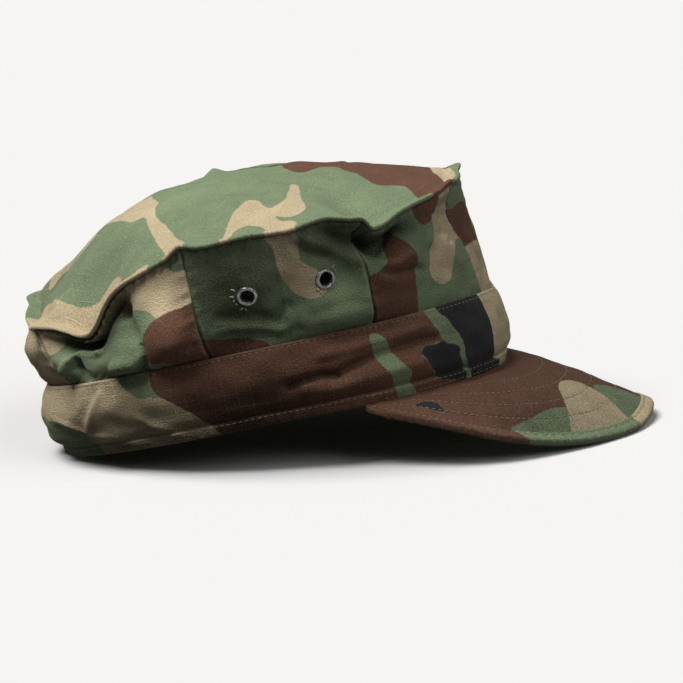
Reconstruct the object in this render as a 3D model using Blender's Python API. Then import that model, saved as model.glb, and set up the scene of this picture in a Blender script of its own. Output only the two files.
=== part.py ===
"""Eight-pointed patrol cap in cloth, resting on its back rim and on the two low corners of its peak.

The cap is worked out in its own frame (+X towards the peak, +Y to the wearer's left, +Z up from the
plane of the head opening, in metres), and then tipped and pressed onto the floor at Z = 0.
"""

import math

import bmesh
import bpy
import numpy as np
from mathutils import Matrix, Vector

MM = 0.001

# Head opening and band
HEAD_LENGTH = 200 * MM
HEAD_WIDTH = 164 * MM
RIM_LIFT = 7 * MM
BAND_HEIGHT = 33 * MM
BAND_WALL = 2.4 * MM
HEM_HEIGHT = 4.5 * MM
HEM_STEP = 0.7 * MM
BAND_BULGE = 2.6 * MM
BROW_BULGE = 5.6 * MM
NAPE_BULGE = 7.5 * MM

# Crown
CROWN_LENGTH = 200 * MM
CROWN_WIDTH = 188 * MM
CROWN_RISE = 55 * MM
CROWN_DOME = 16 * MM
DOME_BACK = 14 * MM
DOME_CURVE = 2.6
EDGE_HOLD = 5.0
SOFTENING = 40
CLOTH = 1.6 * MM
EDGE_BOW = 3 * MM
WELT_SEAT = 3.0 * MM
WELT_HEIGHT = 2.4 * MM
WELT_WIDTH = 2.6 * MM
POINT_REACH = 2.2 * MM
POINT_SPREAD = 0.07

# Peak
PEAK_REACH = 57 * MM
PEAK_WIDTH = 172 * MM
PEAK_DROP = 33.5 * MM
PEAK_THICKNESS = 2.2 * MM
PEAK_CAMBER = 4.0 * MM
BINDING_WIDTH = 5.5 * MM
BINDING_PLY = 0.6 * MM

# Eyelets
EYELET_HOLE = 4.8 * MM
EYELET_BARREL = 0.5 * MM
EYELET_FLANGE = 9.2 * MM
EYELET_ROLL = 0.9 * MM
EYELET_UP = 0.49

# Fits
GAP = 0.3 * MM
WELT_GAP = 0.45 * MM
RIM_PRESSED = 1.2 * MM
PEAK_PRESSED = 0.35 * MM

# Seams of the crown, in order round the cap from the front left.
# foot is the angle on the head oval in degrees, forward a share of half the crown's length,
# side a share of half its width, and rise a share of CROWN_RISE.
SEAMS = [
    dict(foot=15.6, forward=0.935, side=0.33, rise=0.87),
    dict(foot=-15.6, forward=0.90, side=-0.34, rise=0.90),
    dict(foot=-59.0, forward=0.56, side=-0.94, rise=0.88),
    dict(foot=-99.8, forward=-0.17, side=-0.97, rise=0.98),
    dict(foot=-145.0, forward=-0.89, side=-0.46, rise=0.54),
    dict(foot=-215.0, forward=-1.06, side=0.46, rise=0.575),
    dict(foot=-260.2, forward=-0.19, side=0.97, rise=1.14),
    dict(foot=-301.0, forward=0.42, side=0.96, rise=0.98),
]

# Cloth panels between those seams, each with the number of facets across it.
PANELS = [
    dict(name="front_panel", facets=6),
    dict(name="front_side_panel_right", facets=11),
    dict(name="eyelet_panel_right", facets=10),
    dict(name="rear_side_panel_right", facets=11),
    dict(name="back_panel", facets=8),
    dict(name="rear_side_panel_left", facets=9),
    dict(name="eyelet_panel_left", facets=8),
    dict(name="front_side_panel_left", facets=8),
]

# Sags and swells of the crown's edge: at is the place round the cap, with seam k at k,
# spread is in panels, and rise and out are shares of CROWN_RISE.
WELT_BENDS = [
    dict(at=1.80, spread=0.16, rise=-0.11, out=-0.09),
    dict(at=2.20, spread=0.17, rise=0.09, out=0.02),
    dict(at=2.60, spread=0.25, rise=0.05, out=0.03),
    dict(at=3.62, spread=0.17, rise=-0.28, out=-0.04),
    dict(at=5.38, spread=0.20, rise=-0.17, out=-0.04),
    dict(at=6.50, spread=0.25, rise=0.04, out=0.02),
    dict(at=7.15, spread=0.14, rise=-0.06, out=-0.05),
]

# Dents (depth below zero) and swells of the side panels. at and wide are in panels, up and tall
# are shares of the panel's height, and depth is a share of CROWN_RISE.
SIDE_FOLDS = [
    dict(at=1.93, up=0.78, wide=0.18, tall=0.17, depth=-0.17),
    dict(at=1.86, up=0.48, wide=0.16, tall=0.14, depth=0.05),
    dict(at=1.00, up=0.72, wide=0.28, tall=0.26, depth=-0.08),
    dict(at=0.40, up=0.36, wide=0.35, tall=0.24, depth=0.05),
    dict(at=1.10, up=0.84, wide=0.09, tall=0.14, depth=-0.05),
    dict(at=1.20, up=0.55, wide=0.13, tall=0.30, depth=0.05),
    dict(at=2.50, up=0.20, wide=0.45, tall=0.18, depth=0.05),
    dict(at=3.66, up=0.80, wide=0.19, tall=0.20, depth=-0.19),
    dict(at=3.38, up=0.84, wide=0.14, tall=0.16, depth=-0.10),
    dict(at=3.36, up=0.36, wide=0.17, tall=0.18, depth=0.08),
    dict(at=3.15, up=0.62, wide=0.14, tall=0.20, depth=0.04),
    dict(at=3.76, up=0.24, wide=0.07, tall=0.20, depth=-0.07),
    dict(at=3.90, up=0.30, wide=0.08, tall=0.20, depth=0.05),
    dict(at=4.50, up=0.50, wide=0.55, tall=0.35, depth=0.06),
    dict(at=4.30, up=0.74, wide=0.30, tall=0.22, depth=0.08),
    dict(at=5.40, up=0.76, wide=0.20, tall=0.20, depth=-0.13),
    dict(at=5.62, up=0.32, wide=0.18, tall=0.18, depth=0.06),
    dict(at=6.50, up=0.22, wide=0.45, tall=0.18, depth=0.05),
    dict(at=7.10, up=0.74, wide=0.16, tall=0.17, depth=-0.09),
]

# The peak's outer edge from its middle to its end: base is the angle on the head oval in degrees,
# side a share of half PEAK_WIDTH, reach a share of PEAK_REACH ahead of the band, and drop a share
# of PEAK_DROP.
PEAK_EDGE = [
    dict(base=0.0, side=0.00, reach=1.00, drop=0.96),
    dict(base=16.0, side=0.35, reach=0.87, drop=1.02),
    dict(base=30.0, side=0.61, reach=0.59, drop=0.94),
    dict(base=41.0, side=0.80, reach=0.26, drop=0.77),
    dict(base=50.0, side=0.94, reach=-0.09, drop=0.51),
    dict(base=57.0, side=0.99, reach=-0.44, drop=0.22),
    dict(base=62.5, side=0.96, reach=-0.74, drop=0.01),
    dict(base=66.0, side=0.91, reach=-1.01, drop=-0.15),
]

SIDE_ROWS = (0.0, 0.14, 0.28, 0.42, 0.56, 0.70, 0.82, 0.92, 1.0)
TOP_RINGS = (1.0, 0.93, 0.82, 0.68, 0.52, 0.34, 0.16)
PEAK_ROWS = (0.0, 0.2, 0.42, 0.62, 0.82, 1.0)
PEAK_STEPS_A_SIDE = 15
EYELET_SIDES = 14
EYELET_PLACES = (2.25, 2.70, 6.30, 6.75)

COLOURS = {
    "camouflage_cloth": (0.13, 0.18, 0.11, 0.9, 0.0),
    "peak_cloth": (0.12, 0.07, 0.05, 0.9, 0.0),
    "eyelet_metal": (0.16, 0.17, 0.16, 0.4, 0.9),
}


def column(rows, name):
    return np.array([row[name] for row in rows], float)


def unit(vectors):
    return vectors / np.linalg.norm(vectors, axis=-1, keepdims=True)


def bell(distance, spread):
    return np.exp(-((distance / spread) ** 2))


def round_distance(places, at):
    """Signed distance in panels from at, the short way round the cap."""
    count = len(SEAMS)
    return (places - at + count / 2) % count - count / 2


def between_seams(places, values):
    """Values given at the seams, straight between them."""
    ring = np.append(values, values[0])
    return np.interp(places, np.arange(len(ring)), ring)


def foot_angle(places):
    feet = np.append(column(SEAMS, "foot"), SEAMS[0]["foot"] - 360)
    return np.radians(np.interp(places, np.arange(len(feet)), feet))


def outward(angle):
    """Level normal of the head oval."""
    normal = np.stack(
        [np.cos(angle) / HEAD_LENGTH, np.sin(angle) / HEAD_WIDTH, 0 * angle], axis=-1
    )
    return unit(normal)


def rim(angle, height=0.0, inset=0.0):
    """Points of the band's outer face at a height up the band."""
    share = height / BAND_HEIGHT
    side = np.abs(np.sin(angle))
    front = np.clip(np.cos(angle), 0, 1)
    lift = RIM_LIFT * ((1 - share) * side**1.5 + share * side ** (1.5 - 0.9 * front))
    back = np.clip(-np.cos(angle), 0, 1)
    ends = (BROW_BULGE - BAND_BULGE) * front**2 + (NAPE_BULGE - BAND_BULGE) * back**2
    bulge = (BAND_BULGE + ends) * np.sin(math.pi * share)
    place = np.stack(
        [
            HEAD_LENGTH / 2 * np.cos(angle),
            HEAD_WIDTH / 2 * np.sin(angle),
            height + lift,
        ],
        axis=-1,
    )
    return place + outward(angle) * (bulge - inset)[..., None]


def welt_line(places):
    """The line where the top would meet the sides."""
    at_seam = np.stack(
        [
            CROWN_LENGTH / 2 * between_seams(places, column(SEAMS, "forward")),
            CROWN_WIDTH / 2 * between_seams(places, column(SEAMS, "side")),
            BAND_HEIGHT + CROWN_RISE * between_seams(places, column(SEAMS, "rise")),
        ],
        axis=-1,
    )
    share = places % 1.0
    to_seam = np.minimum(share, 1 - share)
    out = EDGE_BOW * np.sin(math.pi * share) + POINT_REACH * bell(to_seam, POINT_SPREAD)
    up = POINT_REACH * bell(to_seam, POINT_SPREAD)
    for bend in WELT_BENDS:
        swell = CROWN_RISE * bell(round_distance(places, bend["at"]), bend["spread"])
        out = out + bend["out"] * swell
        up = up + bend["rise"] * swell
    line = at_seam + outward(foot_angle(places)) * out[..., None]
    line[..., 2] += up
    return line


def side_surface(places, shares):
    """Outer face of the crown's side, for each place round the cap and share of the height."""
    angle = foot_angle(places)
    foot = rim(angle, BAND_HEIGHT + 0 * angle, BAND_WALL - CLOTH)
    foot[..., 2] += GAP
    top = welt_line(places)
    down = unit(foot - top)
    top = top + down * WELT_SEAT
    rows = foot[:, None] * (1 - shares[None, :, None]) + top[:, None] * shares[None, :, None]
    push = 0 * places[:, None] * shares[None, :]
    for fold in SIDE_FOLDS:
        along = bell(round_distance(places, fold["at"]), fold["wide"])
        up = bell(shares - fold["up"], fold["tall"])
        push = push + CROWN_RISE * fold["depth"] * along[:, None] * up[None, :]
    hold = np.sin(math.pi * np.clip(shares, 0, 1)) ** 0.5
    return rows + outward(angle)[:, None] * (push * hold[None, :])[..., None]


def softened(ring):
    """The ring of points with its short bends averaged out."""
    for _ in range(SOFTENING):
        ring = (np.roll(ring, 1, axis=0) + 2 * ring + np.roll(ring, -1, axis=0)) / 4
    return ring


def top_surface(places, rings):
    """Upper face of the crown's top, from its edge at ring 1 to its middle."""
    edge = welt_line(places)
    middle = np.array([-DOME_BACK, 0.0, BAND_HEIGHT + CROWN_RISE + CROWN_DOME])
    inward = unit((middle - edge) * [1, 1, 0])
    edge = edge + inward * WELT_SEAT
    share = rings[None, :, None]
    soft = softened(edge)[:, None]
    held = soft + (edge[:, None] - soft) * share**EDGE_HOLD
    flat = middle * (1 - share) + held * share
    rise = (held[..., 2] - middle[2]) * rings[None, :] ** DOME_CURVE
    flat[..., 2] = middle[2] + rise
    return flat


def facing(grid, closed):
    """Unit normals of a grid of points, one for each."""
    if closed:
        along = np.roll(grid, -1, axis=0) - np.roll(grid, 1, axis=0)
    else:
        along = np.gradient(grid, axis=0)
    return unit(np.cross(along, np.gradient(grid, axis=1)))


def shell(outer, inner):
    """Closed wall between two grids of points: vertices and faces."""
    columns, rows = outer.shape[:2]
    points = np.concatenate([outer.reshape(-1, 3), inner.reshape(-1, 3)])

    def number(i, j, layer):
        return layer * columns * rows + i * rows + j

    faces = []
    for i in range(columns - 1):
        for j in range(rows - 1):
            quad = [(i, j), (i + 1, j), (i + 1, j + 1), (i, j + 1)]
            faces.append([number(*corner, 0) for corner in quad])
            faces.append([number(*corner, 1) for corner in reversed(quad)])
    border = [(i, 0) for i in range(columns)]
    border += [(columns - 1, j) for j in range(1, rows)]
    border += [(i, rows - 1) for i in reversed(range(columns - 1))]
    border += [(0, j) for j in reversed(range(1, rows - 1))]
    for here, after in zip(border, border[1:] + border[:1]):
        faces.append([number(*after, 0), number(*here, 0), number(*here, 1), number(*after, 1)])
    return points, faces


def loft(sections, caps=()):
    """Solid through closed sections: a ring, or a bar whose ends are closed by the caps' faces."""
    count, corners = sections.shape[:2]
    faces = []
    for i in range(count - 1 if caps else count):
        after = (i + 1) % count
        for j in range(corners):
            k = (j + 1) % corners
            faces.append(
                [i * corners + j, after * corners + j, after * corners + k, i * corners + k]
            )
    for cap in caps:
        faces.append(list(cap))
        faces.append([(count - 1) * corners + j for j in reversed(cap)])
    return sections.reshape(-1, 3), faces


def capped_disc(upper, lower):
    """Closed wall between two polar grids whose last rings close on one middle point each."""
    columns, rings = upper.shape[:2]
    points, faces = [], []
    for layer in (upper, lower):
        points += [layer.reshape(-1, 3), layer[:, -1].mean(axis=0, keepdims=True)]
    size = columns * rings + 1
    for i in range(columns):
        after = (i + 1) % columns
        for j in range(rings - 1):
            quad = [i * rings + j, after * rings + j, after * rings + j + 1, i * rings + j + 1]
            faces.append(quad)
            faces.append([size + corner for corner in reversed(quad)])
        fan = [i * rings + rings - 1, after * rings + rings - 1, size - 1]
        faces.append(fan)
        faces.append([size + corner for corner in reversed(fan)])
        faces.append([after * rings, i * rings, size + i * rings, size + after * rings])
    return np.concatenate(points), faces


def stations():
    """Places round the cap, with one at each seam."""
    return np.concatenate(
        [k + np.arange(panel["facets"]) / panel["facets"] for k, panel in enumerate(PANELS)]
    )


def side_panels():
    """Outer and inner grids of each side panel, with the seams open by GAP."""
    rows = np.array(SIDE_ROWS)
    places = stations()
    grid = side_surface(places, rows)
    normals = facing(grid, closed=True)
    normals[:, [0, -1]] = -outward(foot_angle(places))[:, None]
    first, found = 0, {}
    for panel in PANELS:
        wanted = (first + np.arange(panel["facets"] + 1)) % len(places)
        outer, faced = grid[wanted], normals[wanted]
        for end, inside in ((0, 1), (-1, -2)):
            away = unit(outer[inside] - outer[end]) * GAP / 2
            outer[end] = outer[end] + away
        found[panel["name"]] = (outer, outer + faced * CLOTH)
        first += panel["facets"]
    return found


def band_sections():
    """The band's wall: hem, outer face, top edge and inner face."""
    angle = foot_angle(stations())
    profile = [
        (0.0, -HEM_STEP),
        (HEM_HEIGHT, -HEM_STEP),
        (HEM_HEIGHT + HEM_STEP, 0.0),
        (BAND_HEIGHT * 0.35, 0.0),
        (BAND_HEIGHT * 0.60, 0.0),
        (BAND_HEIGHT * 0.82, 0.0),
        (BAND_HEIGHT, 0.0),
        (BAND_HEIGHT, BAND_WALL),
        (BAND_HEIGHT * 0.70, BAND_WALL),
        (BAND_HEIGHT * 0.35, BAND_WALL),
        (0.0, BAND_WALL),
    ]
    return np.stack([rim(angle, height + 0 * angle, inset) for height, inset in profile], axis=1)


def welt_sections():
    """The raised seam that edges the top: it fills the corner between the side and the top."""
    places = stations()
    line = welt_line(places)
    below = side_surface(places, np.array([1.0]))[:, 0]
    beside = top_surface(places, np.array([1.0]))[:, 0]
    side_in = -outward(foot_angle(places)) * CLOTH
    top_in = np.array([0, 0, -CLOTH])
    to_below, to_beside = unit(below - line), unit(beside - line)
    up = -unit(to_below + to_beside)
    across = unit(to_below - to_beside)
    ridge = line + up * WELT_HEIGHT
    return np.stack(
        [
            below + side_in - to_below * WELT_GAP,
            below - to_below * WELT_GAP,
            ridge + across * WELT_WIDTH / 2,
            ridge - across * WELT_WIDTH / 2,
            beside - to_beside * WELT_GAP,
            beside + top_in - to_beside * WELT_GAP,
        ],
        axis=1,
    )


def top_layers():
    grid = top_surface(stations(), np.array(TOP_RINGS))
    normals = facing(grid, closed=True)
    normals[:, 0] = [0, 0, -1]
    return grid, grid + normals * CLOTH


def smooth_rows(name, shares):
    """A column of PEAK_EDGE on a smooth curve through its rows, for shares from 0 to 1."""
    values = column(PEAK_EDGE, name)
    odd = name in ("base", "side")
    mirrored = np.concatenate([(-values[:0:-1] if odd else values[:0:-1]), values])
    knots = np.linspace(-1, 1, len(mirrored))
    slopes = np.gradient(mirrored, knots)
    cell = np.clip(np.searchsorted(knots, shares, side="right") - 1, 0, len(knots) - 2)
    width = knots[1] - knots[0]
    t = (shares - knots[cell]) / width
    return (
        (2 * t**3 - 3 * t**2 + 1) * mirrored[cell]
        + (t**3 - 2 * t**2 + t) * width * slopes[cell]
        + (3 * t**2 - 2 * t**3) * mirrored[cell + 1]
        + (t**3 - t**2) * width * slopes[cell + 1]
    )


def peak_layers():
    """Upper and lower faces of the peak, from under the band to its edge."""
    across = np.linspace(-1, 1, 2 * PEAK_STEPS_A_SIDE + 1)
    angle = np.radians(smooth_rows("base", across))
    under = rim(angle, 0 * angle, BAND_WALL)
    start = rim(angle, 0 * angle, -HEM_STEP - GAP)
    under[:, 2] -= GAP
    start[:, 2] -= GAP
    edge = np.stack(
        [
            HEAD_LENGTH / 2 + PEAK_REACH * smooth_rows("reach", across),
            PEAK_WIDTH / 2 * smooth_rows("side", across),
            -PEAK_DROP * smooth_rows("drop", across),
        ],
        axis=-1,
    )
    width = np.linalg.norm(edge - start, axis=-1)[:, None]
    hem = np.minimum(BINDING_WIDTH / width, 0.4)
    share = np.append(np.array(PEAK_ROWS) * (1 - hem), 0 * hem + 1, axis=1)[..., None]
    run = start[:, None] * (1 - share) + edge[:, None] * share
    run[..., 2] += PEAK_CAMBER * np.sin(math.pi * share[..., 0] ** 0.75) * width / width.max()
    upper = np.concatenate([under[:, None], run], axis=1)
    along = np.gradient(start + edge, axis=0)
    normal = unit(np.cross(edge - start, along))[:, None]
    return upper, upper - normal * PEAK_THICKNESS, normal


def binding_caps():
    """Faces that close the ends of the binding's U, as corners of its section."""
    upper_leg, upper_corner = (0, 1, 8, 9), (1, 2, 8)
    fold = (2, 3, 7, 8)
    lower_corner, lower_leg = (3, 4, 7), (4, 5, 6, 7)
    return upper_leg, upper_corner, fold, lower_corner, lower_leg


def binding_sections():
    """The strip folded over the peak's edge, a U that stays clear of the cloth by GAP."""
    upper, lower, normal = peak_layers()
    normal = normal[:, 0]
    ahead = unit(np.cross(np.gradient(upper[:, -1], axis=0), normal))
    gap, ply = normal * GAP, normal * (GAP + BINDING_PLY)
    out, wrap = ahead * GAP, ahead * (GAP + BINDING_PLY)
    upper_hem, upper_edge = upper[:, -2], upper[:, -1]
    lower_hem, lower_edge = lower[:, -2], lower[:, -1]
    points = [
        upper_hem + ply,
        upper_edge + ply + out,
        upper_edge + gap + wrap,
        lower_edge - gap + wrap,
        lower_edge - ply + out,
        lower_hem - ply,
        lower_hem - gap,
        lower_edge - gap + out,
        upper_edge + gap + out,
        upper_hem + gap,
    ]
    return np.stack(points, axis=1)[1:-1]


def stance():
    """Tilt and drop at which the cap lies on its pressed back rim and on its peak's low corners."""
    back = rim(np.array([math.pi]), np.array([0.0]))[0] + [0, 0, RIM_PRESSED]
    low = binding_sections().reshape(-1, 3) + [0, 0, PEAK_PRESSED]
    tilt = np.max(np.arctan2(back[2] - low[:, 2], low[:, 0] - back[0]))
    tip = Matrix.Rotation(-tilt, 4, "Y")
    return tip, (tip @ Vector(back)).z


def on_floor(points, tip, shift):
    """Points tipped into the resting pose, with what would sink pressed flat on the floor."""
    turned = points @ np.array(tip.to_3x3()).T + shift
    turned[:, 2] = np.maximum(turned[:, 2], 0.0)
    return turned


def material(name):
    red, green, blue, roughness, metallic = COLOURS[name]
    made = bpy.data.materials.new(name)
    made.use_nodes = True
    shader = made.node_tree.nodes["Principled BSDF"]
    shader.inputs["Base Color"].default_value = (red, green, blue, 1)
    shader.inputs["Roughness"].default_value = roughness
    shader.inputs["Metallic"].default_value = metallic
    return made


def add_object(name, points, faces, finish):
    mesh = bpy.data.meshes.new(name)
    shape = bmesh.new()
    corners = [shape.verts.new(point) for point in points]
    for face in faces:
        shape.faces.new([corners[k] for k in face])
    bmesh.ops.triangulate(shape, faces=shape.faces[:])
    bmesh.ops.recalc_face_normals(shape, faces=shape.faces[:])
    shape.to_mesh(mesh)
    shape.free()
    mesh.materials.append(finish)
    made = bpy.data.objects.new(name, mesh)
    bpy.context.scene.collection.objects.link(made)
    return made


def eyelet_seat(place):
    """Matrix of an eyelet's seat on the outer face: +Z out of the cloth."""
    shares = np.array([EYELET_UP - 0.02, EYELET_UP, EYELET_UP + 0.02])
    places = np.array([place - 0.02, place, place + 0.02])
    grid = side_surface(places, shares)
    middle = grid[1, 1]
    along = unit(grid[2, 1] - grid[0, 1])
    out = -unit(np.cross(along, grid[1, 2] - grid[1, 0]))
    side = np.cross(out, along)
    seat = Matrix(np.stack([along, side, out], axis=1).tolist()).to_4x4()
    seat.translation = Vector(middle)
    return seat


def eyelet_profile():
    """Half section of an eyelet as (radius, height above the cloth's outer face)."""
    bore = EYELET_HOLE / 2
    barrel = bore + EYELET_BARREL
    flange = EYELET_FLANGE / 2
    back = -CLOTH - 2 * GAP
    return [
        (bore, back - EYELET_ROLL * 0.7),
        (flange * 0.94, back - EYELET_ROLL * 0.7),
        (flange * 0.94, back),
        (barrel, back),
        (barrel, 2 * GAP),
        (flange, 2 * GAP),
        (flange, 2 * GAP + EYELET_ROLL * 0.5),
        (flange * 0.84, 2 * GAP + EYELET_ROLL),
        (flange * 0.66, 2 * GAP + EYELET_ROLL),
        (bore, 2 * GAP + EYELET_ROLL * 0.3),
    ]


def add_eyelet(name, seat, finish):
    shape = bmesh.new()
    ring = [shape.verts.new((radius, 0, height)) for radius, height in eyelet_profile()]
    edges = [shape.edges.new(pair) for pair in zip(ring, ring[1:] + ring[:1])]
    bmesh.ops.spin(
        shape,
        geom=ring + edges,
        cent=(0, 0, 0),
        axis=(0, 0, 1),
        angle=2 * math.pi,
        steps=EYELET_SIDES,
        use_merge=True,
    )
    bmesh.ops.recalc_face_normals(shape, faces=shape.faces[:])
    mesh = bpy.data.meshes.new(name)
    shape.to_mesh(mesh)
    shape.free()
    mesh.shade_smooth()
    mesh.set_sharp_from_angle(angle=math.radians(40))
    mesh.materials.append(finish)
    made = bpy.data.objects.new(name, mesh)
    bpy.context.scene.collection.objects.link(made)
    made.matrix_world = seat
    return made


def drill(panel, seat, name):
    """Cuts an eyelet's hole through a panel."""
    shape = bmesh.new()
    bmesh.ops.create_cone(
        shape,
        cap_ends=True,
        segments=EYELET_SIDES,
        radius1=EYELET_HOLE / 2 + EYELET_BARREL + GAP,
        radius2=EYELET_HOLE / 2 + EYELET_BARREL + GAP,
        depth=10 * CLOTH,
    )
    mesh = bpy.data.meshes.new(name)
    shape.to_mesh(mesh)
    shape.free()
    cutter = bpy.data.objects.new(name, mesh)
    bpy.context.scene.collection.objects.link(cutter)
    cutter.matrix_world = seat
    cutter.hide_render = True
    cutter.display_type = "WIRE"
    cut = panel.modifiers.new(name, "BOOLEAN")
    cut.operation = "DIFFERENCE"
    cut.object = cutter


def solids():
    """Every cloth solid in the cap's own frame: name to (points, faces, material name)."""
    made = {}
    for name, (outer, inner) in side_panels().items():
        made[name] = (*shell(outer, inner), "camouflage_cloth")
    made["top_panel"] = (*capped_disc(*top_layers()), "camouflage_cloth")
    made["crown_welt"] = (*loft(welt_sections()), "camouflage_cloth")
    made["band"] = (*loft(band_sections()), "camouflage_cloth")
    upper, lower, _ = peak_layers()
    made["peak"] = (*shell(upper, lower), "peak_cloth")
    made["peak_binding"] = (*loft(binding_sections(), binding_caps()), "peak_cloth")
    return made


def build():
    for old in list(bpy.data.objects):
        bpy.data.objects.remove(old)
    finishes = {name: material(name) for name in COLOURS}
    made = solids()
    tip, drop = stance()
    turned = np.concatenate([points for points, _, _ in made.values()]) @ np.array(tip.to_3x3()).T
    low, high = turned.min(axis=0), turned.max(axis=0)
    shift = np.array([-(low[0] + high[0]) / 2, -(low[1] + high[1]) / 2, -drop])
    placed = {
        name: add_object(name, on_floor(points, tip, shift), faces, finishes[finish])
        for name, (points, faces, finish) in made.items()
    }
    to_rest = Matrix.Translation(Vector(shift)) @ tip
    for number, place in enumerate(EYELET_PLACES, start=1):
        seat = to_rest @ eyelet_seat(place)
        panel = placed[PANELS[int(place)]["name"]]
        drill(panel, seat, f"eyelet_cutter_{number}")
        add_eyelet(f"eyelet_{number}", seat, finishes["eyelet_metal"])


build()
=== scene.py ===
"""Finish of an eight-pointed patrol cap in printed ripstop cotton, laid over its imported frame.

The cloth is worked out in the cap's own frame (+X towards the peak, +Y to the wearer's left, +Z up
from the plane of the head opening), and then tipped and set down where the frame's solids are.
"""

import math
from contextlib import contextmanager

import bmesh
import bpy
import numpy as np
from mathutils import Matrix, Vector


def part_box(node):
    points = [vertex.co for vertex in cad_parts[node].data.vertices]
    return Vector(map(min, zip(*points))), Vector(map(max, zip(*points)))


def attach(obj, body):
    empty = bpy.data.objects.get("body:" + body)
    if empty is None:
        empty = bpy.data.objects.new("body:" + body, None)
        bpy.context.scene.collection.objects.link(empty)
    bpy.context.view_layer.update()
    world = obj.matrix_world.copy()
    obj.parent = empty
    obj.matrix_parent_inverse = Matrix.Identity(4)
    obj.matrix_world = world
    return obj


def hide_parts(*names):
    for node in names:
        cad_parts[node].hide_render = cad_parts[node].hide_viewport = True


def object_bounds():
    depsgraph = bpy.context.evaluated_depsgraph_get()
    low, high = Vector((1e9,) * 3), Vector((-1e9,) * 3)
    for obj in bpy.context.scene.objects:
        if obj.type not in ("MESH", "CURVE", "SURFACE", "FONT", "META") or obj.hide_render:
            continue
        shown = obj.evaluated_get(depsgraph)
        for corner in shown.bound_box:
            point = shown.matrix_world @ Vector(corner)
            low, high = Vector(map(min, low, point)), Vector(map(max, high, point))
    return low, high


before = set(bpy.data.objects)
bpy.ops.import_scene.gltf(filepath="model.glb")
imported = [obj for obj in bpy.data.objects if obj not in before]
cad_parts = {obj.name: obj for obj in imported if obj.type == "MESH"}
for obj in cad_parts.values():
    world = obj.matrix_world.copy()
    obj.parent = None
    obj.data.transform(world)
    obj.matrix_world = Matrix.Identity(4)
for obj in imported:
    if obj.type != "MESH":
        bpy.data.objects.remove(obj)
CAD_LOW, CAD_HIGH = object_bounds()

CAP_LENGTH = 279.9
MM = (CAD_HIGH.x - CAD_LOW.x) / CAP_LENGTH


def table(columns, *rows):
    """Rows of a table, each a dictionary of its named columns."""
    return [dict(zip(columns.split(), row)) for row in rows]


def tables(columns, **pieces):
    """Tables with the same columns, one for each piece."""
    return {piece: table(columns, *rows) for piece, rows in pieces.items()}


# Head opening and band
HEAD_LENGTH = 200 * MM
HEAD_WIDTH = 164 * MM
RIM_LIFT = 7 * MM
BAND_HEIGHT = 33 * MM
BAND_WALL = 2.4 * MM
HEM_HEIGHT = 4.5 * MM
HEM_STEP = 0.7 * MM
BAND_BULGE = 2.6 * MM
BROW_BULGE = 5.6 * MM
NAPE_BULGE = 7.5 * MM
BROW_SAG = 1.4 * MM
BROW_TUCK = 2.2 * MM
BROW_DROP = 1.6 * MM
NAPE_TUCK = 4.6 * MM
NAPE_DROP = 0.6 * MM
UNDER_TUCK = 6.0 * MM
UNDER_FROM = (62, 88)
UNDER_TO = (140, 172)
BAND_JOIN = 160
BAND_GAP = 0.3 * MM

# Crown
CROWN_LENGTH = 200 * MM
CROWN_WIDTH = 188 * MM
CROWN_RISE = 55 * MM
CROWN_DOME = 16 * MM
DOME_BACK = 14 * MM
DOME_CURVE = 2.6
EDGE_HOLD = 5.0
FOLD_HOLD = 0.05
SOFTENING = 40
CLOTH = 1.6 * MM
TOP_CLOTH = 1.2 * MM
EDGE_BOW = 3 * MM
WELT_SEAT = 3.0 * MM
POINT_REACH = 2.2 * MM
POINT_SPREAD = 0.07

# Peak
PEAK_REACH = 57 * MM
PEAK_WIDTH = 172 * MM
PEAK_DROP = 33.5 * MM
PEAK_THICKNESS = 2.2 * MM
PEAK_CAMBER = 4.0 * MM
CAMBER_LEAN = 0.75
SEWING_START = 16 * MM
SEWING_PITCH = 11 * MM

# Eyelets
EYELET_HOLE = 5.5 * MM
EYELET_FLANGE = 9.2 * MM
EYELET_ROLL = 1.05 * MM
EYELET_OPENING = 0.56 * EYELET_HOLE
EYELET_UP = 0.51
EYELET_PLACES = (2.25, 2.70, 6.30, 6.75)

# How the cap lies
TILT = math.radians(8.705)

# Seams of the crown, in order round the cap from the front left, as in the solids.
SEAMS = table(
    "foot forward side rise",
    (15.6, 0.927, 0.33, 0.885),
    (-15.6, 0.90, -0.34, 0.90),
    (-59.0, 0.56, -0.94, 0.88),
    (-99.8, -0.17, -0.97, 0.98),
    (-145.0, -0.91, -0.46, 0.51),
    (-215.0, -1.068, 0.46, 0.548),
    (-260.2, -0.19, 0.97, 1.165),
    (-301.0, 0.42, 0.96, 0.99),
)

# Cloth panels between the seams: facets are the solid's, grain is the turn of the weave in degrees.
PANELS = table(
    "name facets grain",
    ("front_panel", 6, 8),
    ("front_side_panel_right", 11, -24),
    ("eyelet_panel_right", 10, 12),
    ("rear_side_panel_right", 11, 38),
    ("back_panel", 8, 10),
    ("rear_side_panel_left", 9, -35),
    ("eyelet_panel_left", 8, -10),
    ("front_side_panel_left", 8, 24),
)
PANEL_NAMES = [panel["name"] for panel in PANELS]

# Sags and swells of the crown's edge: at and spread in panels, rise and out shares of CROWN_RISE.
WELT_BENDS = table(
    "at spread rise out",
    (1.80, 0.16, -0.075, -0.09),
    (2.20, 0.17, 0.09, 0.02),
    (2.60, 0.25, 0.05, 0.03),
    (3.67, 0.165, -0.225, -0.04),
    (5.38, 0.20, 0.0, -0.01),
    (6.45, 0.26, 0.05, 0.02),
    (6.87, 0.12, 0.035, 0.0),
    (7.55, 0.24, -0.03, 0.0),
    (7.15, 0.14, -0.06, -0.05),
)

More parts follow.
